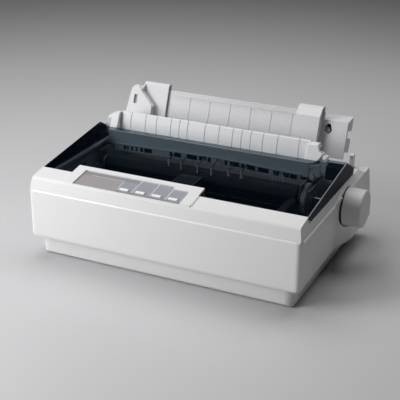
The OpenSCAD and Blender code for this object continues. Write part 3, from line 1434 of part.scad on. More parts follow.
lower_case();
upper_case();
rubber_feet();
case_screws();
panel_plate();
chassis_plate();
left_side_frame();
right_side_frame();
gear_bracket();
carriage_shaft();
front_guide_rail();
platen_bushes();
paper_guide();
pinch_rollers();
carriage_motor();
feed_motor();
motor_pinion();
idler_gear();
platen_gear();
tractor_gear();
tractor_shaft();
tractor_rod();
tension_roller();
tension_unit();
platen();
platen_shaft();
platen_knob();
timing_belt();
drive_pulley();
idler_pulley();
carriage();
print_head();
ribbon_cartridge();
ribbon();
ribbon_knob();
main_board();
power_supply();
parallel_connector();
ac_inlet();
power_switch();
left_tractor();
right_tractor();
left_pin_wheel();
right_pin_wheel();
left_tractor_cover();
right_tractor_cover();
left_tractor_lock();
right_tractor_lock();
sheet_guide();
left_edge_guide();
right_edge_guide();
printer_cover();
release_lever();
thickness_lever();
pitch_button();
tear_off_button();
feed_button();
pause_button();
status_lamps();
serial_connector();
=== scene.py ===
import math

import bmesh
import bpy
from mathutils import Matrix, Vector


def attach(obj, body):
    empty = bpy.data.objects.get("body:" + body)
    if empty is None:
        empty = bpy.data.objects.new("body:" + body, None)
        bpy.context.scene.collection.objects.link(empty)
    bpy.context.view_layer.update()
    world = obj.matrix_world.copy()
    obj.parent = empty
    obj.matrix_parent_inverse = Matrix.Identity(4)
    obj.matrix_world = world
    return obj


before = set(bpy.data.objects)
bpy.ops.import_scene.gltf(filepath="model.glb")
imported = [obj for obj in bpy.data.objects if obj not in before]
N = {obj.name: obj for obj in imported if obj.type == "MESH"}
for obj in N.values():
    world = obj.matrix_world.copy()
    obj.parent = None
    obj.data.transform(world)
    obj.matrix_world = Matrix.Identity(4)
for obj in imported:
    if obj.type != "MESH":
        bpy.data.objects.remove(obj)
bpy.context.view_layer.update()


# ---------------------------------------------------------------- materials
# The colour sockets of a Mix node: its two inputs and its result
MIX_A, MIX_B, MIX_RESULT = 6, 7, 2

# Grain of a surface: features per metre, and the depth of its bump in metres
PLASTIC, FILM, METAL, BOARD = 1500, 1800, 900, 700
GRAIN_DEPTH = 0.00008
DRIFT_SCALE = 14.0      # slow drift of the colour, features per metre
GRAIN_SHARE = 0.35      # part of the colour that follows the grain
ROUGH_SPAN = 0.07       # the grain moves the roughness up and down by this
# Paler edges are partly wear and partly painted highlight, as where an edge catches the light
WEAR_HIGHLIGHT_FROM, WEAR_HIGHLIGHT_FULL, WEAR_HIGHLIGHT_LIFT = 0.50, 0.56, 1.12      # pointiness, and how much paler

# The smoked cover: share of solid plastic on its flat top and on its upright sides,
# and how far a face leans to the side where the one turns into the other. The larger
# share on the sides is painted shade that darkens them.
TOP_SHARE, SIDE_SHARE = 0.36, 0.975
TOP_UNTIL, SIDE_FROM = 0.55, 0.85


def new_mat(name):
    m = bpy.data.materials.new(name)
    m.use_nodes = True
    nt = m.node_tree
    for n in list(nt.nodes):
        nt.nodes.remove(n)
    out = nt.nodes.new("ShaderNodeOutputMaterial")
    bsdf = nt.nodes.new("ShaderNodeBsdfPrincipled")
    nt.links.new(bsdf.outputs["BSDF"], out.inputs["Surface"])
    return m, nt, bsdf


def noise(nt, coord, scale, detail, rough):
    n = nt.nodes.new("ShaderNodeTexNoise")
    n.inputs["Scale"].default_value = scale
    n.inputs["Detail"].default_value = detail
    n.inputs["Roughness"].default_value = rough
    nt.links.new(coord, n.inputs["Vector"])
    return n.outputs["Fac"]


def ramp(nt, fac, stops):
    r = nt.nodes.new("ShaderNodeValToRGB")
    for element, (position, colour) in zip(r.color_ramp.elements, stops):
        element.position = position
        element.color = (*colour, 1.0)
    nt.links.new(fac, r.inputs["Fac"])
    return r.outputs["Color"]


def mix(nt, fac, a, b):
    """A mix of two colours. The factor and the colours are sockets or values."""
    m = nt.nodes.new("ShaderNodeMix")
    m.data_type = "RGBA"
    for value, key in ((fac, "Factor"), (a, MIX_A), (b, MIX_B)):
        if isinstance(value, bpy.types.NodeSocket):
            nt.links.new(value, m.inputs[key])
        elif isinstance(value, tuple):
            m.inputs[key].default_value = (*value, 1.0)
        else:
            m.inputs[key].default_value = value
    return m.outputs[MIX_RESULT]


def map_range(nt, value, low, high, start=0.0, end=1.0):
    n = nt.nodes.new("ShaderNodeMapRange")
    n.inputs["From Min"].default_value = start
    n.inputs["From Max"].default_value = end
    n.inputs["To Min"].default_value = low
    n.inputs["To Max"].default_value = high
    nt.links.new(value, n.inputs["Value"])
    return n.outputs["Result"]


def bump(nt, height, strength, depth, bsdf):
    n = nt.nodes.new("ShaderNodeBump")
    n.inputs["Strength"].default_value = strength
    n.inputs["Distance"].default_value = depth
    nt.links.new(height, n.inputs["Height"])
    nt.links.new(n.outputs["Normal"], bsdf.inputs["Normal"])


def scale_col(c, k):
    return tuple(min(1.0, x * k) for x in c)


def surface(name, col, rough, grain, relief, vary, metallic=0.0, spec=0.5, coat=0.0,
            streak=None, wear=0.0):
    """A moulded, painted or ground surface: fine grain, slow colour drift and
    edges made paler, partly as wear and partly as painted highlight, from the object's own
    coordinates."""
    m, nt, b = new_mat(name)
    vec = grain_vec = nt.nodes.new("ShaderNodeTexCoord").outputs["Object"]
    if streak:
        stretch = nt.nodes.new("ShaderNodeMapping")
        stretch.inputs["Scale"].default_value = streak
        nt.links.new(vec, stretch.inputs["Vector"])
        grain_vec = stretch.outputs["Vector"]
    drift = noise(nt, vec, DRIFT_SCALE, 3.0, 0.6)
    fine = noise(nt, grain_vec, grain, 4.0, 0.6)
    pale = scale_col(col, 1.0 + vary)
    slow = ramp(nt, drift, [(0.3, scale_col(col, 1.0 - vary)), (0.7, pale)])
    spots = ramp(nt, fine, [(0.35, scale_col(col, 1.0 - 1.5 * vary)), (0.65, pale)])
    colour = mix(nt, GRAIN_SHARE, slow, spots)
    # Pointed edges turn paler: wear together with a painted highlight along the edges
    if wear:
        geo = nt.nodes.new("ShaderNodeNewGeometry")
        edge = ramp(nt, geo.outputs["Pointiness"],
                    [(WEAR_HIGHLIGHT_FROM, (0, 0, 0)), (WEAR_HIGHLIGHT_FULL, (wear, wear, wear))])
        colour = mix(nt, edge, colour, scale_col(col, WEAR_HIGHLIGHT_LIFT))
    nt.links.new(colour, b.inputs["Base Color"])
    smoother, rougher = max(0.02, rough - ROUGH_SPAN), min(1.0, rough + ROUGH_SPAN)
    nt.links.new(map_range(nt, fine, smoother, rougher), b.inputs["Roughness"])
    b.inputs["Metallic"].default_value = metallic
    b.inputs["Specular IOR Level"].default_value = spec
    b.inputs["Coat Weight"].default_value = coat
    bump(nt, fine, relief, GRAIN_DEPTH, b)
    return m


def smoked():
    """Smoked clear plastic; its upright sides are made more solid than its top, painted shade
    that makes them darker.
    """
    m, nt, b = new_mat("smoked_plastic")
    coord = nt.nodes.new("ShaderNodeTexCoord")
    cloud = noise(nt, coord.outputs["Object"], 60.0, 3.0, 0.5)
    tint = ramp(nt, cloud, [(0.3, (0.0016, 0.0036, 0.0070)), (0.7, (0.0022, 0.0048, 0.0088))])
    nt.links.new(tint, b.inputs["Base Color"])
    facing = nt.nodes.new("ShaderNodeSeparateXYZ")
    nt.links.new(coord.outputs["Normal"], facing.inputs["Vector"])
    sideways = nt.nodes.new("ShaderNodeMath")
    sideways.operation = "ABSOLUTE"
    nt.links.new(facing.outputs["X"], sideways.inputs[0])
    # Painted shade: faces that lean sideways get more of the dark solid plastic
    share = map_range(nt, sideways.outputs["Value"], TOP_SHARE, SIDE_SHARE, TOP_UNTIL, SIDE_FROM)
    clear = nt.nodes.new("ShaderNodeBsdfTransparent")
    clear.inputs["Color"].default_value = (0.89, 0.945, 0.98, 1.0)
    both = nt.nodes.new("ShaderNodeMixShader")
    nt.links.new(share, both.inputs[0])
    nt.links.new(clear.outputs["BSDF"], both.inputs[1])
    nt.links.new(b.outputs["BSDF"], both.inputs[2])
    nt.links.new(both.outputs["Shader"], nt.nodes["Material Output"].inputs["Surface"])
    b.inputs["Roughness"].default_value = 0.06
    b.inputs["IOR"].default_value = 1.25
    haze = noise(nt, coord.outputs["Object"], 900.0, 2.0, 0.5)
    bump(nt, haze, 0.03, 0.00005, b)
    m.surface_render_method = "BLENDED"
    return m


# Each surface: name, colour, roughness, grain, relief of the grain, drift of the
# colour and what else it has
# These edges are paler from wear and from painted highlight
RUBBED_AND_EDGE_LIT, HANDLED_AND_EDGE_LIT = {"wear": 0.25}, {"wear": 0.3}
GLAZED, POLISHED = {"coat": 0.1}, {"coat": 0.3}
GROUND, DULL = {"metallic": 1.0}, {"spec": 0.3}
SURFACES = {
    "case": ("case_plastic", (0.78, 0.78, 0.785), 0.48, PLASTIC, 0.35, 0.012, RUBBED_AND_EDGE_LIT),
    "case_low": ("plinth_plastic", (0.74, 0.74, 0.745), 0.5, PLASTIC, 0.35, 0.012, RUBBED_AND_EDGE_LIT),
    "guide": ("guide_plastic", (0.72, 0.72, 0.735), 0.46, PLASTIC, 0.25, 0.012, RUBBED_AND_EDGE_LIT),
    "unit": ("unit_plastic", (0.72, 0.735, 0.75), 0.40, PLASTIC, 0.2, 0.012, HANDLED_AND_EDGE_LIT),
    "white": ("white_plastic", (0.80, 0.81, 0.82), 0.42, PLASTIC, 0.2, 0.01, {}),
    "key": ("button_plastic", (0.94, 0.95, 0.97), 0.38, 1600, 0.15, 0.01, {}),
    "knob": ("knob_plastic", (0.76, 0.755, 0.77), 0.45, PLASTIC, 0.25, 0.012, HANDLED_AND_EDGE_LIT),
    "rubber": ("roller_rubber", (0.030, 0.031, 0.034), 0.62, 2200, 0.4, 0.06, DULL),
    "foot": ("foot_rubber", (0.035, 0.035, 0.035), 0.75, 1800, 0.5, 0.08, DULL),
    "belt": ("belt_rubber", (0.02, 0.02, 0.02), 0.6, 900, 0.4, 0.08, DULL),
    "dark": ("dark_plastic", (0.030, 0.031, 0.034), 0.42, 1700, 0.3, 0.04, {}),
    "black": ("black_plastic", (0.022, 0.022, 0.025), 0.38, 1700, 0.3, 0.05, {}),
    "steel": ("frame_steel", (0.42, 0.43, 0.44), 0.38, 500, 0.15, 0.04, GROUND),
    "shaft": ("shaft_steel", (0.55, 0.55, 0.57), 0.32, METAL, 0.08, 0.02,
              {"metallic": 1.0, "streak": (1, 0.05, 0.05)}),
    "motor": ("motor_can", (0.06, 0.06, 0.065), 0.35, METAL, 0.2, 0.05, {}),
    "gear": ("gear_plastic", (0.70, 0.67, 0.57), 0.45, PLASTIC, 0.2, 0.02, {}),
    "brass": ("pinion_brass", (0.60, 0.44, 0.20), 0.3, METAL, 0.15, 0.04, GROUND),
    "screw": ("zinc_screw", (0.50, 0.49, 0.46), 0.35, METAL, 0.2, 0.05, GROUND),
    "head": ("head_aluminium", (0.16, 0.16, 0.17), 0.5, 1100, 0.35, 0.05, {"metallic": 0.6}),
    "ribbon": ("ribbon_cloth", (0.012, 0.012, 0.015), 0.85, 2500, 0.6, 0.1, {"spec": 0.2}),
    "green": ("board_green", (0.03, 0.13, 0.06), 0.4, BOARD, 0.25, 0.08, {}),
    "tan": ("board_tan", (0.34, 0.24, 0.11), 0.55, BOARD, 0.25, 0.08, {}),
    "shell": ("connector_metal", (0.48, 0.48, 0.47), 0.3, METAL, 0.15, 0.04, GROUND),
    "lever": ("lock_lever_plastic", (0.16, 0.17, 0.20), 0.45, PLASTIC, 0.2, 0.03, {}),
    "sage": ("thickness_lever_plastic", (0.10, 0.24, 0.18), 0.45, PLASTIC, 0.2, 0.03, {}),
    "film": ("panel_film", (0.36, 0.365, 0.38), 0.36, FILM, 0.1, 0.015, GLAZED),
    "film_label": ("panel_film_label", (0.345, 0.33, 0.325), 0.36, FILM, 0.1, 0.03, GLAZED),
    # Painted shadow of the recess's rear wall on the film
    "film_strip": ("panel_film_strip", (0.25, 0.255, 0.285), 0.36, FILM, 0.1, 0.015, GLAZED),
    "film_key": ("panel_film_key", (0.315, 0.325, 0.365), 0.36, FILM, 0.1, 0.015, GLAZED),
    "film_front": ("panel_film_front", (0.25, 0.245, 0.24), 0.36, FILM, 0.1, 0.015, GLAZED),
    "film_line": ("panel_film_line", (0.60, 0.60, 0.61), 0.4, FILM, 0.1, 0.01, {}),
    "lamp": ("lamp_lens", (0.30, 0.315, 0.345), 0.3, 800, 0.05, 0.04, POLISHED),
    "comb": ("comb_plastic", (0.58, 0.63, 0.67), 0.4, PLASTIC, 0.2, 0.012, {}),
    "comb_tip": ("finger_plastic", (0.86, 0.88, 0.90), 0.4, PLASTIC, 0.2, 0.01, {}),
    "smoke_dark": ("smoked_box", (0.032, 0.050, 0.056), 0.3, PLASTIC, 0.2, 0.03, DULL),
    # Painted shade: the dark dull skin laid over the cover's sides
    "smoke_skin": ("smoked_skin", (0.009, 0.015, 0.027), 0.55, PLASTIC, 0.2, 0.05,
                   {"spec": 0.15}),
    # Pale trim: painted highlight on the case's creases and ridge, also used for the keyhole's
    # lips
    "trim": ("polished_crease", (0.93, 0.93, 0.94), 0.3, PLASTIC, 0.1, 0.01, POLISHED),
    # Mid grey for the lever's mark and the keyhole pin, and painted shade behind the guide's
    # slot
    "slot": ("slot_plate", (0.26, 0.26, 0.265), 0.5, PLASTIC, 0.2, 0.02, {}),
    # Painted highlight: the pale strip along the cover's top edges
    "bead": ("polished_edge", (0.62, 0.68, 0.70), 0.15, METAL, 0.1, 0.03, POLISHED),
}
M = {key: surface(*row[:-1], **row[-1]) for key, row in SURFACES.items()}
M["smoked"] = smoked()

# The nodes that each material is on
LOOK = {
    "case": "upper_case",
    "case_low": "lower_case",
    "guide": "sheet_guide left_edge_guide right_edge_guide",
    "unit": "tension_unit",
    "white": "tension_roller release_lever",
    "key": "pitch_button tear_off_button feed_button pause_button",
    "knob": "platen_knob",
    "smoked": "printer_cover",
    "film": "panel_plate",
    "lamp": "status_lamps",
    "foot": "rubber_feet",
    "screw": "case_screws",
    "steel": "chassis_plate left_side_frame right_side_frame gear_bracket front_guide_rail"
             " platen_shaft",
    "shaft": "carriage_shaft tractor_shaft tractor_rod",
    "gear": "platen_bushes idler_gear platen_gear tractor_gear idler_pulley",
    "brass": "motor_pinion drive_pulley",
    "dark": "paper_guide left_tractor right_tractor left_tractor_cover right_tractor_cover"
            " ribbon_knob",
    "black": "left_pin_wheel right_pin_wheel carriage ribbon_cartridge power_switch ac_inlet",
    "rubber": "platen pinch_rollers",
    "belt": "timing_belt",
    "motor": "carriage_motor feed_motor",
    "head": "print_head",
    "ribbon": "ribbon",
    "green": "main_board",
    "tan": "power_supply",
    "shell": "parallel_connector serial_connector",
    "lever": "left_tractor_lock right_tractor_lock",
    "sage": "thickness_lever",
}

# Width of the softened edges in metres, and the least angle between two faces, in
# degrees, that makes an edge; the upper case also has shallow creases
EDGE = {
    "upper_case": 0.0009, "lower_case": 0.0008, "sheet_guide": 0.0006,
    "left_edge_guide": 0.0006, "right_edge_guide": 0.0006, "tension_unit": 0.0004,
    "platen_knob": 0.0005, "printer_cover": 0.0006, "release_lever": 0.0006,
    "ribbon_cartridge": 0.0008,
}
SMALL_EDGE = 0.00025
EDGE_ANGLE, CREASE_ANGLE = 35, 14


def soften(o, width, angle=EDGE_ANGLE):
    b = o.modifiers.new("edges", "BEVEL")
    b.width = width
    b.segments = 2
    b.limit_method = "ANGLE"
    b.angle_limit = math.radians(angle)


material_of = {node: key for key, nodes in LOOK.items() for node in nodes.split()}
for node, o in N.items():
    o.data.materials.clear()
    o.data.materials.append(M[material_of[node]])
    soften(o, EDGE.get(node, SMALL_EDGE), CREASE_ANGLE if node == "upper_case" else EDGE_ANGLE)

# ---------------------------------------------------------------- pieces
# Sizes of pieces are in millimetres: x to the right of the middle, d behind the
# front face of the case and z above the table
MM = 1000.0
FRONT_FACE = 0.11725    # metres from the frame's origin to the front face


def at(x, d, z):
    return Vector((x / MM, d / MM - FRONT_FACE, z / MM))


def along_x(d, z, x):
    """Places an outline of (d, z) pairs that is drawn out from left to right."""
    return at(x, d, z)


def along_d(x, z, d):
    """Places an outline of (x, z) pairs that is drawn out from front to rear."""
    return at(x, d, z)


def turn(steps):
    return [2 * math.pi * i / steps for i in range(steps)]


def bridge(bm, low, high):
    n = len(low)
    for i in range(n):
        bm.faces.new((low[i], low[(i + 1) % n], high[(i + 1) % n], high[i]))


def prism(bm, outline, place, low, high, inset=0.0):
    """A closed prism over an outline of (u, v) pairs between two heights; its top
    edge is chamfered by inset."""
    cu = sum(p[0] for p in outline) / len(outline)
    cv = sum(p[1] for p in outline) / len(outline)
    levels = [(low, 0.0), (high, 0.0)]
    if inset:
        levels = [(low, 0.0), (high - inset, 0.0), (high, inset)]
    loops = []
    for w, k in levels:
        ring = []
        for u, v in outline:
            f = 1.0 - k / max(abs(u - cu), abs(v - cv), 1e-6)
            ring.append(bm.verts.new(place(cu + (u - cu) * f, cv + (v - cv) * f, w)))
        loops.append(ring)
    for a, b in zip(loops, loops[1:]):
        bridge(bm, a, b)
    bm.faces.new(loops[-1])
    bm.faces.new(list(reversed(loops[0])))


def rect(u0, v0, u1, v1, r=0.0, n=3):
    """A rectangle, with rounded corners where r is given."""
    if not r:
        return [(u0, v0), (u1, v0), (u1, v1), (u0, v1)]
    pts = []
    for cu, cv, start in ((u1 - r, v0 + r, -90), (u1 - r, v1 - r, 0),
                          (u0 + r, v1 - r, 90), (u0 + r, v0 + r, 180)):
        for i in range(n + 1):
            a = math.radians(start + 90.0 * i / n)
            pts.append((cu + r * math.cos(a), cv + r * math.sin(a)))
    return pts


def finish_piece(name, bm, mat, body, edge=0.0):
    """Makes the piece from its mesh, in a material, and lets it ride on a body."""
    bmesh.ops.recalc_face_normals(bm, faces=bm.faces[:])
    me = bpy.data.meshes.new(name)
    bm.to_mesh(me)
    bm.free()
    o = bpy.data.objects.new(name, me)
    bpy.context.collection.objects.link(o)
    me.materials.append(M[mat])
    if edge:
        soften(o, edge)
    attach(o, body)


def prism_piece(name, outlines, place, low, high, mat, body="case", inset=0.0, edge=0.0):
    bm = bmesh.new()
    for outline in outlines:
        prism(bm, outline, place, low, high, inset)
    finish_piece(name, bm, mat, body, edge)


def ring_piece(name, profile, place, steps, mat, body):
    """A ring: a profile of (radius, height) pairs, turned once round."""
    bm = bmesh.new()
    loops = [[bm.verts.new(place(r * math.cos(a), r * math.sin(a), w)) for a in turn(steps)]
             for r, w in profile]
    for a, b in zip(loops, loops[1:] + loops[:1]):
        bridge(bm, a, b)
    finish_piece(name, bm, mat, body)


# The printed film lies on the rising floor of the panel's recess. It has a label
# field, a darker strip behind that which is painted shadow of the recess's rear wall, four key
# fields, a strip in front of them and lines
FILM_D, FILM_Z, FILM_RISE = 5.1, 99.7, 0.158
FILM_SUNK = 0.05
FILM_LEFT, KEYS_LEFT, KEYS_RIGHT = -110.5, -57.0, 24.4
FIELD_FRONT, FIELD_REAR, FILM_REAR = 10.4, 29.6, 36.0


def film(x, d, w):
    return at(x, d, FILM_Z + (d - FILM_D) * FILM_RISE + w)


for name, thick, mat, fields in (
    ("film_label_field", 0.04, "film_label", [rect(-110.3, 6.0, KEYS_LEFT, FIELD_REAR)]),
    # Painted shadow: the darker strip behind the label field
    ("film_rear_shadow_strip", 0.04, "film_strip", [rect(FILM_LEFT, FIELD_REAR, -37.8, FILM_REAR)]),
    ("film_key_fields", 0.05, "film_key", [
        rect(-56.4, FIELD_FRONT, -37.6, FIELD_REAR), rect(-37.6, FIELD_REAR, -37.5, 29.7),
        rect(-36.4, FIELD_FRONT, -15.0, FILM_REAR), rect(-13.8, FIELD_FRONT, 4.2, FILM_REAR),
        rect(6.0, FIELD_FRONT, 24.2, 31.0)]),
    ("film_front_strip", 0.04, "film_front", [rect(KEYS_LEFT, 5.6, KEYS_RIGHT, FIELD_FRONT)]),
    ("film_lines", 0.09, "film_line", [
        rect(-100.0, 29.2, -56.2, 30.0), rect(-57.2, 11.0, -56.2, 30.0),
        rect(-37.8, 10.0, -36.5, 36.2), rect(-15.2, 10.0, -13.9, 36.2),
        rect(4.6, 9.0, 6.0, 31.2)]),
):
    prism_piece(name, fields, film, -FILM_SUNK, thick, mat)

# The comb in front of the tension unit: open gaps from one x to another between a
# top and a bottom rail, over a dark back
GAPS = [(-129.0, -125.6), (-124.3, -121.8), (-118.3, -115.1), (-111.7, -109.1),
        (-105.0, -101.1), (-99.3, -88.0), (-62.9, -59.1), (-56.5, -47.4), (-38.6, -24.8),
        (-22.2, -16.2), (-14.9, -12.9), (-9.9, -6.1), (12.8, 16.5), (19.6, 32.2),
        (34.7, 39.5), (42.5, 53.3), (56.8, 70.9), (76.8, 84.4), (89.6, 97.2), (98.4, 107.1)]
COMB_D = 157.3
COMB_LEFT, COMB_RIGHT = -142.0, 111.5
COMB_TOP, COMB_BASE, COMB_LOW = 98.2, 90.6, 89.2
COMB_STATIONS = [COMB_LEFT, -113, -85, -47, -9, 12, 33, 54, 75, 93, COMB_RIGHT]
COMB_BOW = [(-142, -2.8), (-85, -1.4), (-9, 0.9), (33, 0.5), (75, -1.2), (112, -2.2)]


def comb_rise(x):
    """The comb follows the bow of the tension unit, highest near its middle."""
    for (x0, z0), (x1, z1) in zip(COMB_BOW, COMB_BOW[1:]):
        if x <= x1:
            return z0 + (z1 - z0) * (x - x0) / (x1 - x0)
    return COMB_BOW[-1][1]


def comb(x, z, w):
    return at(x, COMB_D - w, z + comb_rise(x))


def comb_strip(low, high):
    return [(x, low) for x in COMB_STATIONS] + [(x, high) for x in reversed(COMB_STATIONS)]


bm = bmesh.new()
bar_from = COMB_LEFT
for gap_from, gap_to in GAPS + [(COMB_RIGHT, None)]:
    bar = rect(bar_from, COMB_BASE - 0.1, gap_from, COMB_TOP - 1.1)
    prism(bm, bar, comb, 0.1, 1.2, 0.2)
    bar_from = gap_to
for low, high, deep in ((COMB_TOP - 1.2, COMB_TOP, 1.7), (COMB_LOW, COMB_BASE, 1.3)):
    prism(bm, comb_strip(low, high), comb, 0.1, deep)
finish_piece("unit_comb", bm, "comb", "case")
prism_piece("unit_comb_back", [comb_strip(COMB_LOW + 0.3, COMB_TOP - 0.4)],
            comb, -0.05, 0.25, "black")

# Hold-down fingers: a thin dark arm from the comb over the platen, with a pale
# upright tip. Each: its x, the heights of its top and foot, its width and its toe
FINGERS = [
    (-54.1, 94.4, 86.2, 2.0, 0.0), (-37.1, 92.6, 83.2, 1.5, 0.0),
    (-14.7, 93.0, 82.6, 1.7, 0.0), (3.9, 93.0, 83.4, 1.9, 0.0),
    (26.3, 93.6, 86.6, 1.9, 1.6), (43.1, 95.2, 86.6, 2.1, 1.2),
    (83.6, 98.4, 91.2, 1.4, 0.0), (97.3, 98.8, 91.8, 1.4, 0.0),
]
TIP_FRONT, TIP_BACK = 135.2, 136.6
ARM_FRONT, ARM_REAR, ARM_HALF = 136.4, 156.3, 0.5
tips, arms = bmesh.new(), bmesh.new()
for x, top, foot, wide, toe in FINGERS:
    left, right = x - wide / 2, x + wide / 2
    tip = [(left, foot), (right + toe, foot), (right + toe, foot + 1.2),
           (right, foot + 1.6), (right - 0.2, top), (left + 0.2, top)]
    prism(tips, tip, along_d, TIP_FRONT, TIP_BACK)
    rise = comb_rise(x)
    arm = [(ARM_FRONT, foot + 1.0), (137.6, foot + 1.4), (137.8, top - 1.4),
           (ARM_REAR, 96.6 + rise), (ARM_REAR, 97.8 + rise), (ARM_FRONT, top - 0.3)]
    prism(arms, arm, along_x, x - ARM_HALF, x + ARM_HALF)
finish_piece("unit_finger_tips", tips, "comb_tip", "case", edge=0.0002)
finish_piece("unit_finger_arms", arms, "black", "case")

# The cover: a pale, coated bead along each side of its sloping top, a painted highlight on
# the edge; a dull dark skin on the outside of each side, painted shade; and a dark box in its
# rear right corner
COVER_D, COVER_Z, COVER_SLOPE = 28.0, 103.618, 0.120774
BEAD_X, BEAD_DROP, DIAGONAL = 165.9, 0.6, 0.707
BEAD_FRONT, COVER_REAR = 28.8, 159.2
SKIN_IN, SKIN_OUT = 166.45, 166.62
SKIN = [(30.2, 99.4), (29.2, 102.4), (158.6, 118.0), (187.6, 103.2), (188.6, 101.6),
        (185.0, 95.9), (40.0, 95.2)]
BOX_FRONT, BOX_FLOOR, BOX_DROP = 146.0, 99.4, 2.55


def cover_top(d):
    return COVER_Z + (d - COVER_D) * COVER_SLOPE


for side, name, half in ((1, "right", 0.55), (-1, "left", 0.3)):
    def bead(d, v, w, side=side):
        out, up = (w + v) * DIAGONAL, (w - v) * DIAGONAL
        return at(side * (BEAD_X + out), d, cover_top(d) - BEAD_DROP + up)

    def skin(d, z, w, side=side):
        return at(side * w, d, z)

    # Painted highlight: a pale bead along each top edge of the cover
    prism_piece("cover_highlight_bead_" + name, [rect(BEAD_FRONT, -half, COVER_REAR, half)],
                bead, -0.1, 0.16, "bead", "cover")
    # Painted shade: a dark dull skin over each side of the cover
    prism_piece("cover_shade_skin_" + name, [SKIN], skin, SKIN_IN, SKIN_OUT, "smoke_skin", "cover")
box = [(BOX_FRONT, BOX_FLOOR), (COVER_REAR, BOX_FLOOR),
       (COVER_REAR, cover_top(COVER_REAR) - BOX_DROP),
       (BOX_FRONT, cover_top(BOX_FRONT) - BOX_DROP)]
prism_piece("cover_corner_box", [box], along_x, 145.0, 163.7, "smoke_dark", "cover",
            edge=0.0006)

# Thin pale trims on the case, painted highlights where its edges catch the light: the
# crease along its right side, the one along its front, and the ridge behind the knob where the
# pod's side meets its top
TRIM_EDGE = 0.0002
side_crease = [(169.2, 82.6), (171.2, 83.5), (171.4, 84.0), (171.2, 84.3), (168.2, 85.0),
               (168.0, 84.5)]
front_crease = [(0.25, 82.9), (0.03, 83.1), (0.75, 84.25), (1.5, 84.75), (1.8, 84.3),
                (0.9, 83.3)]
ridge = [(173.7, 87.6), (173.64, 88.56), (172.85, 89.28), (172.4, 88.8), (173.2, 87.7)]
prism_piece("case_crease_right", [side_crease], along_d, 5.0, 113.0, "trim", edge=TRIM_EDGE)
prism_piece("case_crease_front", [front_crease], along_x, -163.5, 163.5, "trim",
            edge=TRIM_EDGE)
prism_piece("case_ridge_right", [ridge], along_d, 164.5, 206.0, "trim", edge=TRIM_EDGE)

# Rounded foot of the panel frame's right side, a little above the film's plane
FOOT_LIFT = 0.25
frame_foot = [(37.9, -0.25), (37.9, 0.98), (38.6, 0.9), (39.9, 0.12), (40.2, -0.25)]
prism_piece("panel_foot_right", [frame_foot], lambda x, w, d: film(x, d, w + FOOT_LIFT),
            6.5, 27.6, "case")

# Leaning front of the tension unit's right catch
CATCH_FOOT, CATCH_LEAN = 109.6, 0.45
catch = [(114.4, CATCH_FOOT), (121.0, 110.4), (127.0, 112.6), (131.5, 116.5),
         (134.6, 121.2), (134.2, 123.4), (131.4, 124.4), (129.6, 127.6), (127.6, 131.2),
         (124.0, 132.2), (114.4, 131.6)]
prism_piece("unit_catch_front", [catch],
            lambda x, z, w: at(x, w + (z - CATCH_FOOT) * CATCH_LEAN, z),
            157.4, 160.2, "white", edge=0.0009)

# Round mark pressed into the release lever's tip. The lever leans back from its axle
LEVER_X, LEVER_D, LEVER_Z = 154.0, 221.0, 62.0
LEVER_TILT = math.atan(3.8 / 44.4)
MARK_UP = 40.6


def on_lever(x, h, w):
    """A point at x and h from the middle of the mark, w behind the lever's middle."""
    s = MARK_UP + h
    return at(LEVER_X + x, LEVER_D + s * math.sin(LEVER_TILT) + w * math.cos(LEVER_TILT),
              LEVER_Z + s * math.cos(LEVER_TILT) - w * math.sin(LEVER_TILT))


ring_piece("lever_mark", [(1.15, -3.45), (1.15, -3.72), (1.85, -3.72), (1.85, -3.45)],
           on_lever, 24, "slot", "release_lever")

# Shadow gap round the inner end of the knob
KNOB_D, KNOB_Z = 145.5, 71.6
ring_piece("knob_shadow_ring", [(22.6, 172.1), (22.98, 172.1), (22.98, 173.9), (22.6, 174.2)],
           lambda d, z, x: at(x, KNOB_D + d, KNOB_Z + z), 72, "black", "platen_set")

# The sheet guide leans back about its foot
GUIDE_D, GUIDE_Z = 225.5, 80.0
GUIDE_LEAN = math.radians(20.0)


def on_guide(x, h, n):
    """A point on the leaning sheet guide: h up its plate and n behind its middle."""
    return at(x, GUIDE_D + n * math.cos(GUIDE_LEAN) + h * math.sin(GUIDE_LEAN),
              GUIDE_Z - n * math.sin(GUIDE_LEAN) + h * math.cos(GUIDE_LEAN))


# Grey plate behind the slot of the left edge guide: painted shade of the surface seen through
# the slot
prism_piece("left_guide_slot_shade_plate", [rect(-153.4, 44.0, -146.6, 58.0, 0.8)],
            on_guide, -14.05, -13.2, "slot", "left_edge_guide")

# Black floor in the keyhole of the guide's right wing, painted shade for the dark hole, with a
# grey pin and bright lips
PIN_X, PIN_H, PIN_R = 114.6, 48.4, 3.6
prism_piece("keyhole_shade_floor", [rect(110.6, 44.2, 120.4, 56.4, 1.0)],
            on_guide, 9.2, 9.48, "black", "sheet_guide")
pin = [(PIN_X + PIN_R * math.cos(a), PIN_H + PIN_R * math.sin(a)) for a in turn(24)]
prism_piece("keyhole_pin", [pin], on_guide, -0.6, 9.3, "slot", "sheet_guide", inset=0.5)
lips = [[(110.4, 57.4), (110.4, 54.6), (112.4, 54.4), (113.6, 56.0), (113.2, 57.4)],
        [(109.2, 45.4), (109.6, 43.6), (114.2, 43.2), (114.8, 44.4), (112.2, 45.8)]]
prism_piece("keyhole_lips", lips, on_guide, -2.1, 0.5, "trim", "sheet_guide", inset=0.3)

# ---------------------------------------------------------------- floor, lights, camera
bpy.ops.mesh.primitive_plane_add(size=8.0, location=(0, 1.0, 0))
floor = bpy.context.object
floor.name = "floor"
floor_mat, nt, b = new_mat("floor_paper")
coord = nt.nodes.new("ShaderNodeTexCoord")
cloud = noise(nt, coord.outputs["Object"], 3.0, 2.0, 0.5)
paper = ramp(nt, cloud, [(0.3, (0.60, 0.60, 0.61)), (0.7, (0.62, 0.62, 0.63))])
nt.links.new(paper, b.inputs["Base Color"])
b.inputs["Roughness"].default_value = 0.8
floor.data.materials.append(floor_mat)

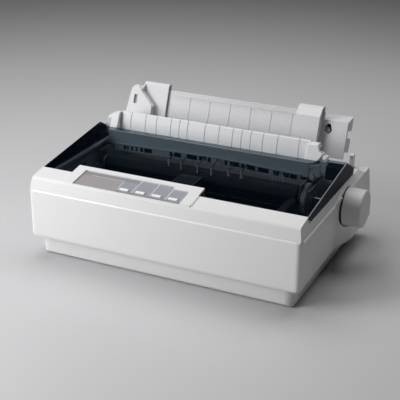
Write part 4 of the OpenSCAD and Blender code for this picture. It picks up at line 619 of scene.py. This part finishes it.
# Soft square lights, all turned to the middle of the printer: place and side in
# metres, and power in watts
LIGHTS = {
    "key_left": ((-1.0, -0.85, 0.80), 0.8, 10.6),
    "key_near": ((-0.45, -0.65, 0.30), 0.3, 2.2),
    "top_soft": ((-0.35, 0.25, 1.2), 0.9, 7.2),
    "back_soft": ((0.35, 0.45, 1.0), 0.6, 2.6),
}
LIT = Vector((0, 0, 0.06))
for name, (place, side, power) in LIGHTS.items():
    light = bpy.data.lights.new(name, "AREA")
    light.shape = "RECTANGLE"
    light.size = light.size_y = side
    light.energy = power
    o = bpy.data.objects.new(name, light)
    bpy.context.collection.objects.link(o)
    o.location = place
    o.rotation_mode = "QUATERNION"
    o.rotation_quaternion = (LIT - Vector(place)).to_track_quat("-Z", "Y")

world = bpy.data.worlds.new("studio")
bpy.context.scene.world = world
world.use_nodes = True
sky = world.node_tree.nodes["Background"]
sky.inputs["Color"].default_value = (1, 1, 1, 1)
sky.inputs["Strength"].default_value = 0.006

# The camera that was fitted to the photo: angles in degrees, lengths in metres, and
# the focal length in pixels of the photo
AZIMUTH, ELEVATION, ROLL = 25.06, 23.39, 0.38
TARGET, DISTANCE = Vector((-0.0116, 0.02025, 0.047)), 1.2273
FOCAL_PX, PHOTO_PX, SENSOR = 988.3, 400.0, 36.0
az, el, roll = (math.radians(a) for a in (AZIMUTH, ELEVATION, ROLL))
back = Vector((math.sin(az) * math.cos(el), -math.cos(az) * math.cos(el), math.sin(el)))
level = (-back).cross(Vector((0, 0, 1))).normalized()
upright = level.cross(-back)
right = math.cos(roll) * level + math.sin(roll) * upright
up = -math.sin(roll) * level + math.cos(roll) * upright
lens = bpy.data.cameras.new("camera")
lens.sensor_width = SENSOR
lens.lens = FOCAL_PX / PHOTO_PX * SENSOR
camera = bpy.data.objects.new("camera", lens)
bpy.context.collection.objects.link(camera)
turned = Matrix((right, up, back)).transposed().to_4x4()
camera.matrix_world = Matrix.Translation(TARGET + back * DISTANCE) @ turned
bpy.context.scene.camera = camera
bpy.context.scene.view_settings.view_transform = "Standard"
